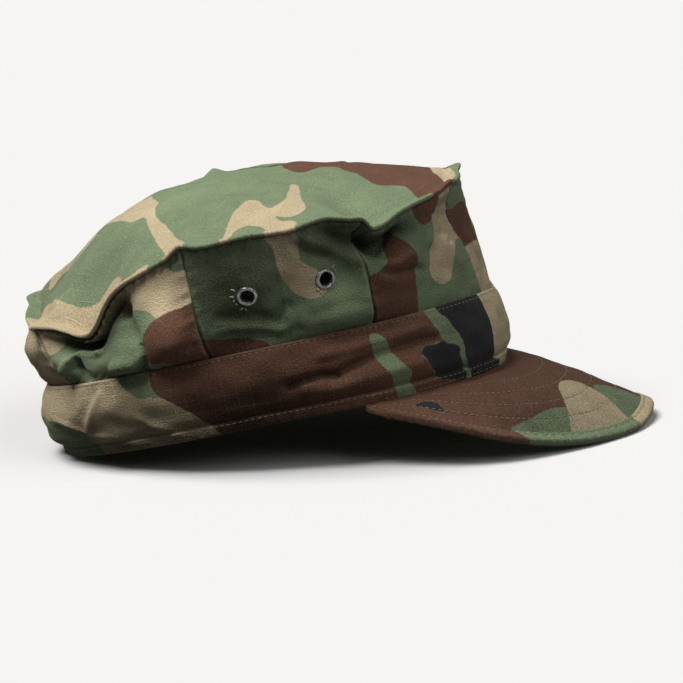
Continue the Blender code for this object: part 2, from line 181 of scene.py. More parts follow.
# Broad dents and swells of the sides: at and wide in panels, up and tall in shares of the height,
# depth a share of CROWN_RISE.
SIDE_FOLDS = table(
    "at up wide tall depth",
    (1.92, 0.87, 0.17, 0.14, -0.29),
    (1.74, 0.87, 0.11, 0.08, -0.11),
    (2.14, 0.94, 0.10, 0.08, -0.09),
    (2.11, 0.56, 0.13, 0.20, -0.09),
    (1.86, 0.48, 0.16, 0.14, 0.05),
    (1.00, 0.72, 0.28, 0.26, -0.08),
    (0.40, 0.50, 0.45, 0.34, 0.008),
    (1.10, 0.84, 0.09, 0.14, -0.05),
    (1.20, 0.55, 0.13, 0.30, 0.05),
    (2.76, 0.16, 0.22, 0.26, -0.04),
    (3.80, 0.80, 0.12, 0.15, -0.24),
    (3.62, 0.92, 0.12, 0.12, -0.22),
    (3.46, 0.94, 0.08, 0.08, -0.13),
    (3.41, 0.80, 0.05, 0.08, -0.07),
    (2.16, 0.14, 0.26, 0.26, 0.09),
    (3.17, 0.26, 0.20, 0.42, 0.17),
    (3.49, 0.24, 0.12, 0.28, 0.09),
    (3.84, 0.22, 0.05, 0.24, -0.05),
    (3.92, 0.30, 0.07, 0.18, 0.05),
    (4.50, 0.38, 0.55, 0.35, 0.09),
    (4.30, 0.74, 0.30, 0.22, 0.08),
    (5.40, 0.76, 0.20, 0.20, -0.13),
    (5.62, 0.32, 0.18, 0.18, 0.06),
    (6.50, 0.22, 0.45, 0.18, 0.05),
    (7.10, 0.74, 0.16, 0.17, -0.09),
)

# The peak's outer edge from its middle to its end, as in the solids.
PEAK_EDGE = table(
    "base side reach drop",
    (0.0, 0.00, 1.00, 0.96),
    (16.0, 0.35, 0.87, 1.02),
    (30.0, 0.61, 0.59, 0.94),
    (41.0, 0.80, 0.26, 0.77),
    (50.0, 0.94, -0.09, 0.51),
    (57.0, 0.99, -0.44, 0.22),
    (62.5, 0.96, -0.74, 0.01),
    (66.0, 0.91, -1.01, -0.15),
)

CREASE_DEPTH = 1.3 * MM

# The charts that creases, print and tones are given in: (share across, share up) for a side panel,
# (degrees, share up) for the band, (share of half its length, share of half its width) for the top
# and (across, share out) for the peak and its binding.

# Creases: line is a route over the piece in its chart, wide is in millimetres, and deep in
# CREASE_DEPTH, below zero for a valley.
CREASES = tables(
    "wide deep line",
    front_side_panel_right=[
        (2.6, -1.4, [(0.58, 0.42), (0.70, 0.46), (0.86, 0.56)]),
        (3.0, 1.2, [(0.62, 0.62), (0.74, 0.60), (0.90, 0.68)]),
        (1.8, -1.0, [(0.04, 0.70), (0.16, 0.71), (0.28, 0.69)]),
        (1.2, 0.7, [(0.31, 0.90), (0.35, 0.76), (0.42, 0.64)]),
        (1.4, -0.7, [(0.12, 0.62), (0.22, 0.58)]),
        (1.6, -1.6, [(0.66, 0.93), (0.73, 0.83), (0.84, 0.77)]),
    ],
    eyelet_panel_right=[
        (3.0, 1.3, [(0.06, 0.68), (0.18, 0.78), (0.32, 0.94)]),
        (2.2, -1.1, [(0.22, 0.70), (0.32, 0.77), (0.38, 0.90)]),
        (3.0, -0.6, [(0.10, 0.25), (0.24, 0.24), (0.36, 0.20)]),
        (2.6, -1.1, [(0.50, 0.34), (0.58, 0.22), (0.68, 0.30), (0.88, 0.36)]),
        (2.4, 0.9, [(0.54, 0.12), (0.68, 0.19), (0.84, 0.25), (0.98, 0.22)]),
        (1.1, 0.35, [(0.50, 0.02), (0.50, 0.40), (0.50, 0.96)]),
        (2.2, -0.8, [(0.46, 0.10), (0.52, 0.08)]),
    ],
    rear_side_panel_right=[
        (2.8, -1.7, [(0.41, 0.78), (0.37, 0.50), (0.34, 0.30)]),
        (1.3, -2.4, [(0.345, 0.34), (0.33, 0.20), (0.335, 0.10), (0.39, 0.02)]),
        (3.4, 2.0, [(0.42, 0.14), (0.54, 0.18)]),
        (1.8, -2.2, [(0.83, 0.50), (0.84, 0.28), (0.80, 0.06)]),
        (2.0, 1.8, [(0.95, 0.24), (0.89, 0.44), (0.80, 0.60), (0.66, 0.64)]),
        (2.0, -0.9, [(0.06, 0.18), (0.16, 0.12), (0.26, 0.02)]),
    ],
    back_panel=[
        (2.4, -1.0, [(0.30, 0.30), (0.46, 0.24), (0.60, 0.30)]),
        (2.2, -0.9, [(0.70, 0.86), (0.82, 0.60), (0.90, 0.34)]),
    ],
    rear_side_panel_left=[
        (2.2, -1.2, [(0.18, 0.10), (0.26, 0.36), (0.36, 0.60)]),
        (2.0, -0.9, [(0.58, 0.20), (0.70, 0.26), (0.86, 0.22)]),
    ],
    eyelet_panel_left=[
        (2.4, -1.0, [(0.14, 0.24), (0.34, 0.20), (0.50, 0.28)]),
        (1.1, 0.35, [(0.50, 0.02), (0.50, 0.96)]),
    ],
    front_side_panel_left=[
        (2.2, -1.1, [(0.16, 0.56), (0.34, 0.46), (0.52, 0.44)]),
        (2.0, 1.0, [(0.66, 0.88), (0.72, 0.66), (0.80, 0.50)]),
    ],
    front_panel=[
        (2.2, -0.9, [(0.62, 0.20), (0.74, 0.40), (0.90, 0.56)]),
        (2.4, -1.0, [(0.30, 0.84), (0.42, 0.62), (0.46, 0.36)]),
    ],
    band=[
        (2.0, -1.9, [(-44, 0.64), (-53, 0.64), (-61, 0.60), (-68, 0.53), (-72, 0.46)]),
        (1.7, -2.9, [(-71, 0.47), (-75, 0.51), (-79, 0.50), (-83, 0.46)]),
        (3.2, 1.7, [(-50, 0.40), (-62, 0.38), (-72, 0.32), (-79, 0.35)]),
        (2.2, 1.0, [(-46, 0.82), (-60, 0.80), (-74, 0.76)]),
        (2.0, 0.7, [(-114, 0.14), (-118, 0.26), (-122, 0.42)]),
        (3.2, -0.4, [(-123, 0.20), (-128, 0.36), (-132, 0.48)]),
        (2.0, 0.9, [(-133, 0.82), (-137, 0.58), (-141, 0.38), (-143, 0.18)]),
        (2.4, -0.5, [(-135, 0.84), (-140, 0.62)]),
        (1.6, 0.8, [(-130, 0.17), (-140, 0.31), (-147, 0.47), (-154, 0.58)]),
        (2.4, -0.9, [(-166, 0.30), (-176, 0.52), (-188, 0.60)]),
        (2.6, -1.1, [(140, 0.30), (124, 0.44), (108, 0.40)]),
        (2.2, -1.2, [(86, 0.62), (72, 0.54), (60, 0.60)]),
        (2.6, 1.0, [(92, 0.34), (76, 0.30), (62, 0.38)]),
    ],
    top_panel=[
        (5.0, -1.6, [(-0.80, -0.34), (-0.66, -0.40), (-0.52, -0.42)]),
        (4.0, 1.2, [(-0.86, -0.28), (-0.80, -0.40)]),
        (6.0, -1.2, [(0.50, -0.60), (0.40, -0.40), (0.20, -0.30)]),
        (5.0, -1.0, [(0.05, -0.42), (0.20, -0.52), (0.36, -0.50)]),
        (2.0, -1.9, [(-1.06, 0.44), (-1.02, 0.34), (-0.98, 0.29)]),
        (1.8, 1.5, [(-1.06, 0.40), (-0.96, 0.38), (-0.86, 0.30)]),
        (2.0, -2.1, [(-0.985, 0.06), (-0.965, -0.03), (-0.95, -0.10)]),
        (1.6, 1.6, [(-1.01, 0.20), (-1.00, 0.08), (-0.985, -0.06)]),
        (2.2, -1.8, [(-0.90, -0.24), (-0.87, -0.30), (-0.85, -0.40)]),
        (2.4, 1.3, [(-0.94, -0.28), (-0.84, -0.34), (-0.78, -0.38)]),
        (6.0, -1.2, [(-0.60, 0.50), (-0.36, 0.56), (-0.10, 0.50)]),
        (5.0, -1.0, [(0.30, 0.74), (0.44, 0.56), (0.64, 0.44)]),
    ],
)

# The print: outlines in each piece's chart, later ones over earlier ones, on a green ground.
PRINT = tables(
    "ink outline",
    front_panel=[
        ("brown", [(0.40, 0.62), (0.46, 0.80), (0.62, 0.86), (0.80, 0.85), (1.04, 0.78), (1.04, 0.42),
            (0.68, 0.48), (0.50, 0.46)]),
        ("tan", [(0.08, -0.05), (0.12, 0.22), (0.28, 0.38), (0.50, 0.46), (0.68, 0.475), (0.85, 0.46),
            (1.05, 0.42), (1.06, 0.20), (1.05, -0.05), (0.60, -0.07)]),
        ("black", [(-0.05, 0.56), (0.10, 0.64), (0.24, 0.62), (0.30, 0.50), (0.18, 0.44),
            (-0.05, 0.42)]),
    ],
    front_side_panel_right=[
        ("tan", [(-0.05, 0.56), (-0.06, 0.80), (-0.04, 1.05), (0.12, 1.05), (0.19, 0.96), (0.29, 0.90),
            (0.31, 0.80), (0.36, 0.70), (0.43, 0.58), (0.48, 0.45), (0.51, 0.32), (0.48, 0.235),
            (0.41, 0.20), (0.34, 0.235), (0.29, 0.32), (0.25, 0.42), (0.20, 0.50), (0.12, 0.545)]),
        ("brown", [(0.12, 1.06), (0.17, 0.96), (0.24, 0.91), (0.30, 0.88), (0.36, 0.83), (0.42, 0.84),
            (0.46, 0.91), (0.48, 1.06)]),
        ("brown", [(0.675, 0.90), (0.63, 0.80), (0.59, 0.68), (0.57, 0.55), (0.59, 0.44), (0.63, 0.34),
            (0.66, 0.20), (0.685, 0.05), (0.70, -0.06), (1.05, -0.06), (1.05, 0.40), (0.99, 0.47),
            (0.93, 0.545), (0.86, 0.60), (0.80, 0.67), (0.76, 0.75), (0.71, 0.85)]),
    ],
    eyelet_panel_right=[
        ("tan", [(0.385, 1.05), (0.355, 0.93), (0.37, 0.84), (0.37, 0.76), (0.33, 0.68), (0.29, 0.62),
            (0.285, 0.54), (0.28, 0.46), (0.26, 0.40), (0.30, 0.365), (0.36, 0.37), (0.42, 0.43),
            (0.46, 0.52), (0.49, 0.64), (0.50, 0.78), (0.505, 0.92), (0.54, 1.05)]),
        ("brown", [(0.62, -0.06), (0.65, 0.02), (0.70, 0.07), (0.78, 0.12), (0.88, 0.15), (1.05, 0.17),
            (1.05, -0.06)]),
    ],
    rear_side_panel_right=[
        ("tan", [(-0.05, 0.54), (-0.05, 0.80), (0.03, 0.86), (0.08, 0.93), (0.13, 1.05), (0.66, 1.08),
            (0.62, 0.96), (0.54, 0.86), (0.46, 0.80), (0.38, 0.77), (0.31, 0.72), (0.26, 0.67),
            (0.22, 0.60), (0.20, 0.555), (0.12, 0.57), (0.05, 0.55)]),
        ("brown", [(-0.05, 0.53), (0.05, 0.55), (0.12, 0.575), (0.20, 0.555), (0.27, 0.50),
            (0.31, 0.42), (0.33, 0.31), (0.32, 0.19), (0.29, 0.10), (0.24, 0.04), (0.18, -0.05),
            (-0.05, -0.05)]),
        ("tan", [(0.88, 1.05), (0.895, 0.97), (0.905, 0.88), (0.915, 0.80), (0.92, 0.69), (0.94, 0.63),
            (1.05, 0.60), (1.05, 1.05)]),
    ],
    back_panel=[
        ("tan", [(-0.06, -0.06), (-0.06, 1.06), (0.70, 1.06), (0.66, 0.70), (0.70, 0.40),
            (0.62, -0.06)]),
        ("brown", [(0.74, 0.30), (0.80, 0.52), (0.92, 0.62), (1.06, 0.58), (1.06, 0.10), (0.88, 0.08)]),
    ],
    rear_side_panel_left=[
        ("brown", [(-0.06, 0.34), (0.10, 0.38), (0.24, 0.52), (0.40, 0.58), (0.48, 0.48), (0.40, 0.34),
            (0.26, 0.24), (0.14, 0.10), (0.10, -0.06), (-0.06, -0.06)]),
        ("tan", [(0.55, 1.06), (0.58, 0.86), (0.66, 0.72), (0.80, 0.64), (0.92, 0.66), (1.06, 0.74),
            (1.06, 1.06)]),
        ("tan", [(0.08, 0.80), (0.16, 0.90), (0.28, 0.92), (0.34, 0.84), (0.26, 0.74), (0.14, 0.72)]),
        ("black", [(0.62, -0.06), (0.66, 0.10), (0.76, 0.20), (0.88, 0.24), (0.94, 0.12),
            (0.88, -0.06)]),
    ],
    eyelet_panel_left=[
        ("brown", [(0.30, -0.06), (0.34, 0.14), (0.30, 0.30), (0.36, 0.44), (0.50, 0.50), (0.60, 0.42),
            (0.58, 0.26), (0.68, 0.14), (0.70, -0.06)]),
        ("tan", [(-0.06, 0.74), (0.10, 0.66), (0.20, 0.54), (0.16, 0.40), (0.04, 0.34), (-0.06, 0.36)]),
        ("black", [(0.60, 0.84), (0.70, 0.96), (0.84, 1.00), (0.92, 0.86), (0.84, 0.74), (0.72, 0.72)]),
        ("tan", [(0.86, 0.40), (0.94, 0.48), (1.06, 0.50), (1.06, 0.14), (0.95, 0.12), (0.88, 0.22)]),
    ],
    front_side_panel_left=[
        ("tan", [(-0.06, 0.50), (0.08, 0.50), (0.18, 0.40), (0.30, 0.34), (0.34, 0.20), (0.22, 0.10),
            (0.06, 0.14), (-0.06, 0.12)]),
        ("brown", [(0.42, 1.06), (0.46, 0.86), (0.40, 0.70), (0.48, 0.54), (0.62, 0.46), (0.76, 0.52),
            (0.84, 0.66), (0.80, 0.82), (0.86, 1.06)]),
        ("black", [(0.60, -0.06), (0.64, 0.10), (0.76, 0.18), (0.90, 0.14), (1.06, 0.22),
            (1.06, -0.06)]),
    ],
    band=[
        ("brown", [(-38, 1.2), (-38, -0.2), (-101, -0.2), (-103, 0.08), (-105.5, 0.22), (-108, 0.38),
            (-111, 0.52), (-113.5, 0.63), (-115.5, 0.74), (-116, 0.88), (-116, 1.2)]),
        ("black", [(-21.3, 1.2), (-20.6, 0.7), (-20.8, 0.45), (-21.7, 0.3), (-20.8, 0.2), (-16, 0.1),
            (-8, -0.2), (-36, -0.2), (-38, 0.04), (-43, 0.09), (-45.5, 0.17), (-46.7, 0.28),
            (-47.9, 0.40), (-49.3, 0.49), (-48, 0.56), (-44, 0.57), (-41, 0.62), (-40, 0.8),
            (-41, 0.95), (-41, 1.2)]),
        ("green", [(-40.5, 1.2), (-40, 0.92), (-38.3, 0.84), (-36.6, 0.70), (-35.1, 0.55),
            (-34.9, 0.42), (-35.4, 0.32), (-33.4, 0.15), (-30.5, -0.2), (-33, -0.2), (-34.8, 0.10),
            (-36.4, 0.22), (-37.5, 0.34), (-36.8, 0.44), (-38, 0.50), (-40.5, 0.53), (-41.8, 0.60),
            (-42.6, 0.72), (-43.6, 0.86), (-44.3, 1.2)]),
        ("green", [(-57.6, 0.74), (-58.6, 0.84), (-60.3, 0.89), (-61.8, 0.86), (-61.9, 0.76),
            (-61.2, 0.60), (-60.5, 0.48), (-59.2, 0.37), (-58.3, 0.20), (-57.4, 0.06), (-57, -0.2),
            (-51.5, -0.2), (-52.6, 0.08), (-53.6, 0.20), (-53.3, 0.31), (-54.8, 0.42), (-56.3, 0.56)]),
        ("tan", [(-101, -0.2), (-103, 0.08), (-105.5, 0.22), (-108, 0.38), (-111, 0.52), (-113.5, 0.63),
            (-117, 0.685), (-120, 0.69), (-122.5, 0.79), (-125, 0.89), (-127, 1.2), (-206, 1.2),
            (-200, 0.7), (-192, 0.5), (-184, 0.56), (-174, 0.62), (-162, 0.60), (-155, 0.57),
            (-150, 0.54), (-146, 0.46), (-141.5, 0.33), (-142, 0.22), (-143, 0.12), (-145, -0.2)]),
        ("tan", [(-21.3, 1.2), (-20.6, 0.7), (-20.8, 0.45), (-21.7, 0.3), (-20.8, 0.2), (-16, 0.1),
            (-8, -0.2), (14, -0.2), (20, 0.15), (27, 0.45), (30, 0.62), (32, 1.2)]),
        ("brown", [(44, 1.2), (47, 0.8), (58, 0.6), (72, 0.66), (82, 0.5), (96, 0.42), (104, 0.2),
            (102, -0.2), (60, -0.2), (52, 0.2), (42, 0.34), (36, 0.6), (36, 1.2)]),
        ("black", [(84, 1.2), (88, 0.84), (98, 0.70), (108, 0.74), (116, 0.60), (126, 0.62),
            (130, 0.84), (124, 1.2)]),
        ("tan", [(116, -0.2), (120, 0.16), (130, 0.34), (142, 0.30), (152, 0.46), (162, 0.50),
            (164, -0.2)]),
    ],
    top_panel=[
        ("tan", [(-0.17, -1.04), (-0.16, -0.89), (-0.20, -0.77), (-0.24, -0.62), (-0.29, -0.48),
            (-0.325, -0.33), (-0.315, -0.20), (-0.35, -0.085), (-0.38, 0.04), (-0.44, 0.19),
            (-0.54, 0.26), (-0.62, 0.17), (-0.60, 0.02), (-0.53, -0.09), (-0.48, -0.21), (-0.44, -0.28),
            (-0.38, -0.32), (-0.35, -0.45), (-0.32, -0.585), (-0.285, -0.72), (-0.255, -0.83),
            (-0.22, -1.04)]),
        ("tan", [(0.00, -1.04), (0.015, -0.87), (0.04, -0.755), (0.07, -0.64), (0.10, -0.595),
            (0.14, -0.617), (0.17, -0.68), (0.20, -0.72), (0.23, -0.70), (0.26, -0.63), (0.27, -0.50),
            (0.285, -0.40), (0.305, -0.436), (0.315, -0.55), (0.33, -0.69), (0.345, -0.80),
            (0.32, -0.845), (0.27, -0.85), (0.22, -0.82), (0.24, -0.865), (0.29, -0.89),
            (0.295, -1.04)]),
        ("green", [(0.04, -1.04), (0.05, -0.91), (0.07, -0.88), (0.10, -0.86), (0.14, -0.88),
            (0.17, -0.905), (0.17, -1.04)]),
        ("tan", [(-1.12, -0.10), (-0.93, -0.12), (-0.86, -0.23), (-0.82, -0.33), (-0.81, -0.40),
            (-0.76, -0.44), (-0.70, -0.50), (-0.63, -0.54), (-0.55, -0.555), (-0.49, -0.62),
            (-0.52, -0.80), (-0.75, -0.70), (-0.95, -0.60), (-1.12, -0.40)]),
        ("tan", [(-0.60, -0.56), (-0.52, -0.64), (-0.44, -0.735), (-0.34, -0.785), (-0.33, -0.90),
            (-0.60, -0.80)]),
        ("brown", [(0.19, 0.43), (0.20, 0.19), (0.23, 0.00), (0.27, -0.13), (0.31, -0.17),
            (0.35, -0.13), (0.38, -0.065), (0.44, -0.055), (0.49, -0.13), (0.53, -0.21), (0.58, -0.31),
            (0.63, -0.37), (0.69, -0.35), (0.78, -0.37), (0.86, -0.36), (0.98, -0.38), (1.00, 0.10),
            (0.92, 0.38), (0.74, 0.62), (0.56, 0.68), (0.44, 0.53), (0.36, 0.64), (0.26, 0.62)]),
        ("tan", [(0.82, 0.40), (0.845, 0.22), (0.87, 0.08), (0.885, 0.00), (0.905, -0.10),
            (0.96, -0.16), (0.97, 0.00), (0.96, 0.30)]),
        ("green", [(0.95, -0.18), (0.945, 0.00), (0.935, 0.20), (0.93, 0.42), (1.06, 0.42),
            (1.06, -0.18)]),
        ("brown", [(0.74, -0.33), (0.76, -0.41), (0.79, -0.48), (0.84, -0.50), (0.93, -0.44),
            (0.98, -0.36), (0.93, -0.26), (0.86, -0.20), (0.80, -0.22)]),
        ("brown", [(-0.66, 1.04), (-0.62, 0.88), (-0.68, 0.78), (-0.54, 0.74), (-0.44, 0.66),
            (-0.36, 0.74), (-0.40, 0.84), (-0.28, 0.90), (-0.30, 1.04)]),
        ("tan", [(-0.965, 0.36), (-0.93, 0.26), (-0.86, 0.14), (-0.78, 0.05), (-0.70, -0.01),
            (-0.65, 0.06), (-0.70, 0.18), (-0.78, 0.28), (-0.90, 0.38)]),
        ("black", [(-0.88, 0.50), (-0.80, 0.42), (-0.70, 0.43), (-0.60, 0.39), (-0.50, 0.33),
            (-0.42, 0.37), (-0.46, 0.45), (-0.55, 0.50), (-0.58, 0.56), (-0.51, 0.63), (-0.57, 0.70),
            (-0.68, 0.63), (-0.75, 0.55), (-0.84, 0.56)]),
        ("black", [(0.22, 0.26), (0.15, 0.22), (0.08, 0.28), (0.02, 0.35), (-0.08, 0.37), (-0.17, 0.44),
            (-0.20, 0.52), (-0.12, 0.52), (-0.03, 0.46), (0.06, 0.44), (0.13, 0.40), (0.17, 0.33)]),
        ("tan", [(-0.36, 0.78), (-0.27, 0.70), (-0.17, 0.75), (-0.12, 0.66), (-0.19, 0.57),
            (-0.20, 0.46), (-0.29, 0.40), (-0.33, 0.48), (-0.30, 0.58), (-0.40, 0.66)]),
        ("brown", [(0.30, 1.04), (0.32, 0.90), (0.26, 0.80), (0.38, 0.78), (0.46, 0.84), (0.57, 0.80),
            (0.54, 1.04)]),
        ("tan", [(0.02, 0.86), (0.10, 0.78), (0.08, 0.69), (0.18, 0.66), (0.24, 0.73), (0.20, 0.82),
            (0.28, 0.90), (0.16, 0.92), (0.10, 0.86)]),
    ],
    peak=[
        ("brown", [(-1.2, -0.2), (-1.2, 1.2), (0.62, 1.2), (0.58, 0.6), (0.46, 0.3), (0.42, -0.2)]),
        ("black", [(-0.730, 0.37), (-0.705, 0.31), (-0.675, 0.28), (-0.650, 0.28), (-0.635, 0.34),
            (-0.637, 0.43), (-0.650, 0.52), (-0.668, 0.59), (-0.690, 0.57), (-0.705, 0.52),
            (-0.722, 0.45)]),
        ("green", [(-0.56, 1.2), (-0.535, 0.95), (-0.522, 0.86), (-0.458, 0.75), (-0.40, 0.69),
            (-0.355, 0.65), (-0.285, 0.63), (-0.24, 0.66), (-0.20, 0.78), (-0.12, 0.80), (-0.085, 0.66),
            (-0.06, 0.62), (-0.027, 0.68), (-0.005, 0.79), (0.00, 0.89), (0.02, 1.2)]),
        ("tan", [(-0.370, 1.2), (-0.353, 0.90), (-0.305, 0.78), (-0.260, 0.67), (-0.205, 0.54),
            (-0.165, 0.46), (-0.130, 0.435), (-0.100, 0.455), (-0.083, 0.50), (-0.077, 0.56),
            (-0.080, 0.63), (-0.098, 0.73), (-0.117, 0.81), (-0.145, 0.91), (-0.155, 1.2)]),
        ("tan", [(0.62, 1.2), (0.66, 0.82), (0.76, 0.72), (0.86, 0.82), (0.92, 1.2)]),
        ("black", [(0.26, 0.15), (0.32, 0.34), (0.44, 0.46), (0.50, 0.36), (0.42, 0.18), (0.34, 0.06)]),
    ],
    peak_binding=[
        ("brown", [(-1.2, -0.2), (-1.2, 1.2), (-0.52, 1.2), (-0.52, 0.3), (-0.55, -0.2)]),
        ("tan", [(-0.065, -0.2), (-0.055, 1.2), (0.10, 1.2), (0.10, -0.2)]),
        ("brown", [(0.20, -0.2), (0.22, 1.2), (0.46, 1.2), (0.46, -0.2)]),
        ("tan", [(0.50, -0.2), (0.54, 1.2), (0.86, 1.2), (0.88, -0.2)]),
    ],
)

# A repeat of the same print, in millimetres, for the linings and undersides.
REPEAT_SIZE = (170, 150)
REPEAT = table(
    "ink outline",
    ("brown", [(10, 20), (30, 34), (48, 30), (60, 44), (52, 62), (34, 66), (20, 54), (4, 50),
        (-8, 36)]),
    ("tan", [(70, 10), (84, 22), (100, 20), (112, 34), (104, 46), (88, 44), (78, 34), (64, 26)]),
    ("black", [(120, 60), (132, 52), (140, 62), (150, 76), (142, 90), (130, 82), (124, 72)]),
    ("brown", [(90, 80), (104, 72), (118, 86), (116, 104), (100, 116), (84, 108), (80, 92)]),
    ("tan", [(20, 96), (36, 90), (50, 100), (48, 116), (34, 128), (22, 120), (12, 108)]),
    ("black", [(56, 126), (70, 120), (84, 128), (82, 140), (66, 144)]),
    ("tan", [(140, 118), (154, 110), (166, 120), (160, 134), (146, 136)]),
    ("brown", [(130, 8), (146, 0), (162, 8), (166, 24), (152, 32), (136, 24)]),
)
PRINT_REACH = 6.0


def column(rows, name):
    return np.array([row[name] for row in rows], float)


def unit(vectors):
    return vectors / np.linalg.norm(vectors, axis=-1, keepdims=True)


def bell(distance, spread):
    return np.exp(-((distance / spread) ** 2))


def grown(distance, reach):
    """Share that grows from 0 at a line towards 1 well away from it."""
    return 1 - np.exp(-distance / reach)


def hermite(t, start, leave, end, arrive):
    """Smooth run from start to end at shares t, by the slopes that it leaves and arrives with."""
    return (
        (2 * t**3 - 3 * t**2 + 1) * start
        + (t**3 - 2 * t**2 + t) * leave
        + (3 * t**2 - 2 * t**3) * end
        + (t**3 - t**2) * arrive
    )


def closed(grid, axis=0):
    """A grid of points with its first row or column again at its end."""
    return np.concatenate([grid, np.take(grid, [0], axis=axis)], axis=axis)


def laid_off(line, rows, **ways):
    """Section along a line: each row's columns laid off their own ways, in millimetres."""
    points = []
    for row in rows:
        point = line
        for name, way in ways.items():
            point = point + way * row[name] * MM
        points.append(point)
    return np.stack(points, axis=1)


def round_distance(places, at):
    """Signed distance in panels from at, the short way round the cap."""
    count = len(SEAMS)
    return (places - at + count / 2) % count - count / 2


def between_seams(places, name):
    """A column of SEAMS, straight between the seams."""
    values = column(SEAMS, name)
    return np.interp(places, np.arange(len(values) + 1), np.append(values, values[0]))


def foot_angle(places):
    feet = np.append(column(SEAMS, "foot"), SEAMS[0]["foot"] - 360)
    return np.radians(np.interp(places, np.arange(len(feet)), feet))


def outward(angle):
    """Level normal of the head oval."""
    return unit(np.stack([np.cos(angle) / HEAD_LENGTH, np.sin(angle) / HEAD_WIDTH, 0 * angle], axis=-1))


def rim(angle, height, inset, slack=1.0):
    """Points of the band's outer face at a height up the band; slack 0 gives the solid's face."""
    share = height / BAND_HEIGHT
    low = np.clip(1 - share, 0, 1)
    side = np.abs(np.sin(angle))
    front = np.clip(np.cos(angle), 0, 1)
    back = np.clip(-np.cos(angle), 0, 1)
    lift = RIM_LIFT * ((1 - share) * side**1.5 + share * side ** (1.5 - 0.9 * front))
    lift = lift - slack * (BROW_DROP * front**2 * share + NAPE_DROP * back**4 * low)
    brow = BROW_BULGE - slack * BROW_SAG
    ends = (brow - BAND_BULGE) * front**2 + (NAPE_BULGE - BAND_BULGE) * back**2
    bulge = (BAND_BULGE + ends) * np.sin(math.pi * share)
    turn = np.degrees(np.arccos(np.clip(np.cos(angle), -1, 1)))
    under = np.interp(turn, UNDER_FROM + UNDER_TO, (0, 1, 1, 0))
    tuck = BROW_TUCK * front**4 * low + NAPE_TUCK * back**2 * low**1.5 + UNDER_TUCK * under * low
    bulge = bulge - slack * tuck
    oval = [HEAD_LENGTH / 2 * np.cos(angle), HEAD_WIDTH / 2 * np.sin(angle), height + lift]
    return np.stack(oval, axis=-1) + outward(angle) * (bulge - inset)[..., None]


def welt_line(places):
    """The line where the top would meet the sides."""
    forward, side, rise = (between_seams(places, name) for name in ("forward", "side", "rise"))
    line = [CROWN_LENGTH / 2 * forward, CROWN_WIDTH / 2 * side, BAND_HEIGHT + CROWN_RISE * rise]
    share = places % 1.0
    to_seam = np.minimum(share, 1 - share)
    up = POINT_REACH * bell(to_seam, POINT_SPREAD)
    out = EDGE_BOW * np.sin(math.pi * share) + up
    for bend in WELT_BENDS:
        swell = CROWN_RISE * bell(round_distance(places, bend["at"]), bend["spread"])
        out = out + bend["out"] * swell
        up = up + bend["rise"] * swell
    line = np.stack(line, axis=-1) + outward(foot_angle(places)) * out[..., None]
    line[..., 2] += up
    return line


def side_surface(places, shares):
    """Outer face of the crown's side, for each place round the cap and share of the height."""
    angle = foot_angle(places)
    foot = rim(angle, BAND_HEIGHT + 0 * angle, BAND_WALL - CLOTH)
    foot[..., 2] += BAND_GAP
    top = welt_line(places)
    top = top + unit(foot - top) * WELT_SEAT
    rows = foot[:, None] * (1 - shares[None, :, None]) + top[:, None] * shares[None, :, None]
    push = 0 * places[:, None] * shares[None, :]
    for fold in SIDE_FOLDS:
        along = bell(round_distance(places, fold["at"]), fold["wide"])
        up = bell(shares - fold["up"], fold["tall"])
        push = push + CROWN_RISE * fold["depth"] * along[:, None] * up[None, :]
    hold = grown(np.clip(shares, 0, 1), FOLD_HOLD) * grown(np.clip(1 - shares, 0, 1), FOLD_HOLD)
    return rows + outward(angle)[:, None] * (push * hold[None, :])[..., None]


def stations(density):
    """Places round the cap, density to each facet of the solids, with one at each seam."""
    spans = [panel["facets"] * density for panel in PANELS]
    return np.concatenate([k + np.arange(span) / span for k, span in enumerate(spans)])


def softened(ring, rounds):
    """The ring of points with its short bends averaged out."""
    for _ in range(rounds):
        ring = (np.roll(ring, 1, axis=0) + 2 * ring + np.roll(ring, -1, axis=0)) / 4
    return ring


def top_surface(density, rings):
    """Upper face of the crown's top, from its edge at ring 1 to its middle."""
    edge = welt_line(stations(density))
    middle = np.array([-DOME_BACK, 0.0, BAND_HEIGHT + CROWN_RISE + CROWN_DOME])
    edge = edge + unit((middle - edge) * [1, 1, 0]) * WELT_SEAT
    share = rings[None, :, None]
    soft = softened(edge, SOFTENING * density**2)[:, None]
    held = soft + (edge[:, None] - soft) * share**EDGE_HOLD
    flat = middle * (1 - share) + held * share
    flat[..., 2] = middle[2] + (held[..., 2] - middle[2]) * rings[None, :] ** DOME_CURVE
    return flat


def smooth_rows(name, shares):
    """A column of PEAK_EDGE on a smooth curve through its rows, for shares from -1 to 1."""
    values = column(PEAK_EDGE, name)
    sign = -1 if name in ("base", "side") else 1
    mirrored = np.concatenate([sign * values[:0:-1], values])
    knots = np.linspace(-1, 1, len(mirrored))
    cell = np.clip(np.searchsorted(knots, shares, side="right") - 1, 0, len(knots) - 2)
    width = knots[1] - knots[0]
    slopes = np.gradient(mirrored, knots) * width
    t = (shares - knots[cell]) / width
    return hermite(t, mirrored[cell], slopes[cell], mirrored[cell + 1], slopes[cell + 1])


def camber(share, width):
    """Rise of the peak's face at a share of the way out, less where the peak is narrow."""
    return PEAK_CAMBER * np.sin(math.pi * np.clip(share, 0, 1) ** CAMBER_LEAN) * width / width.max()


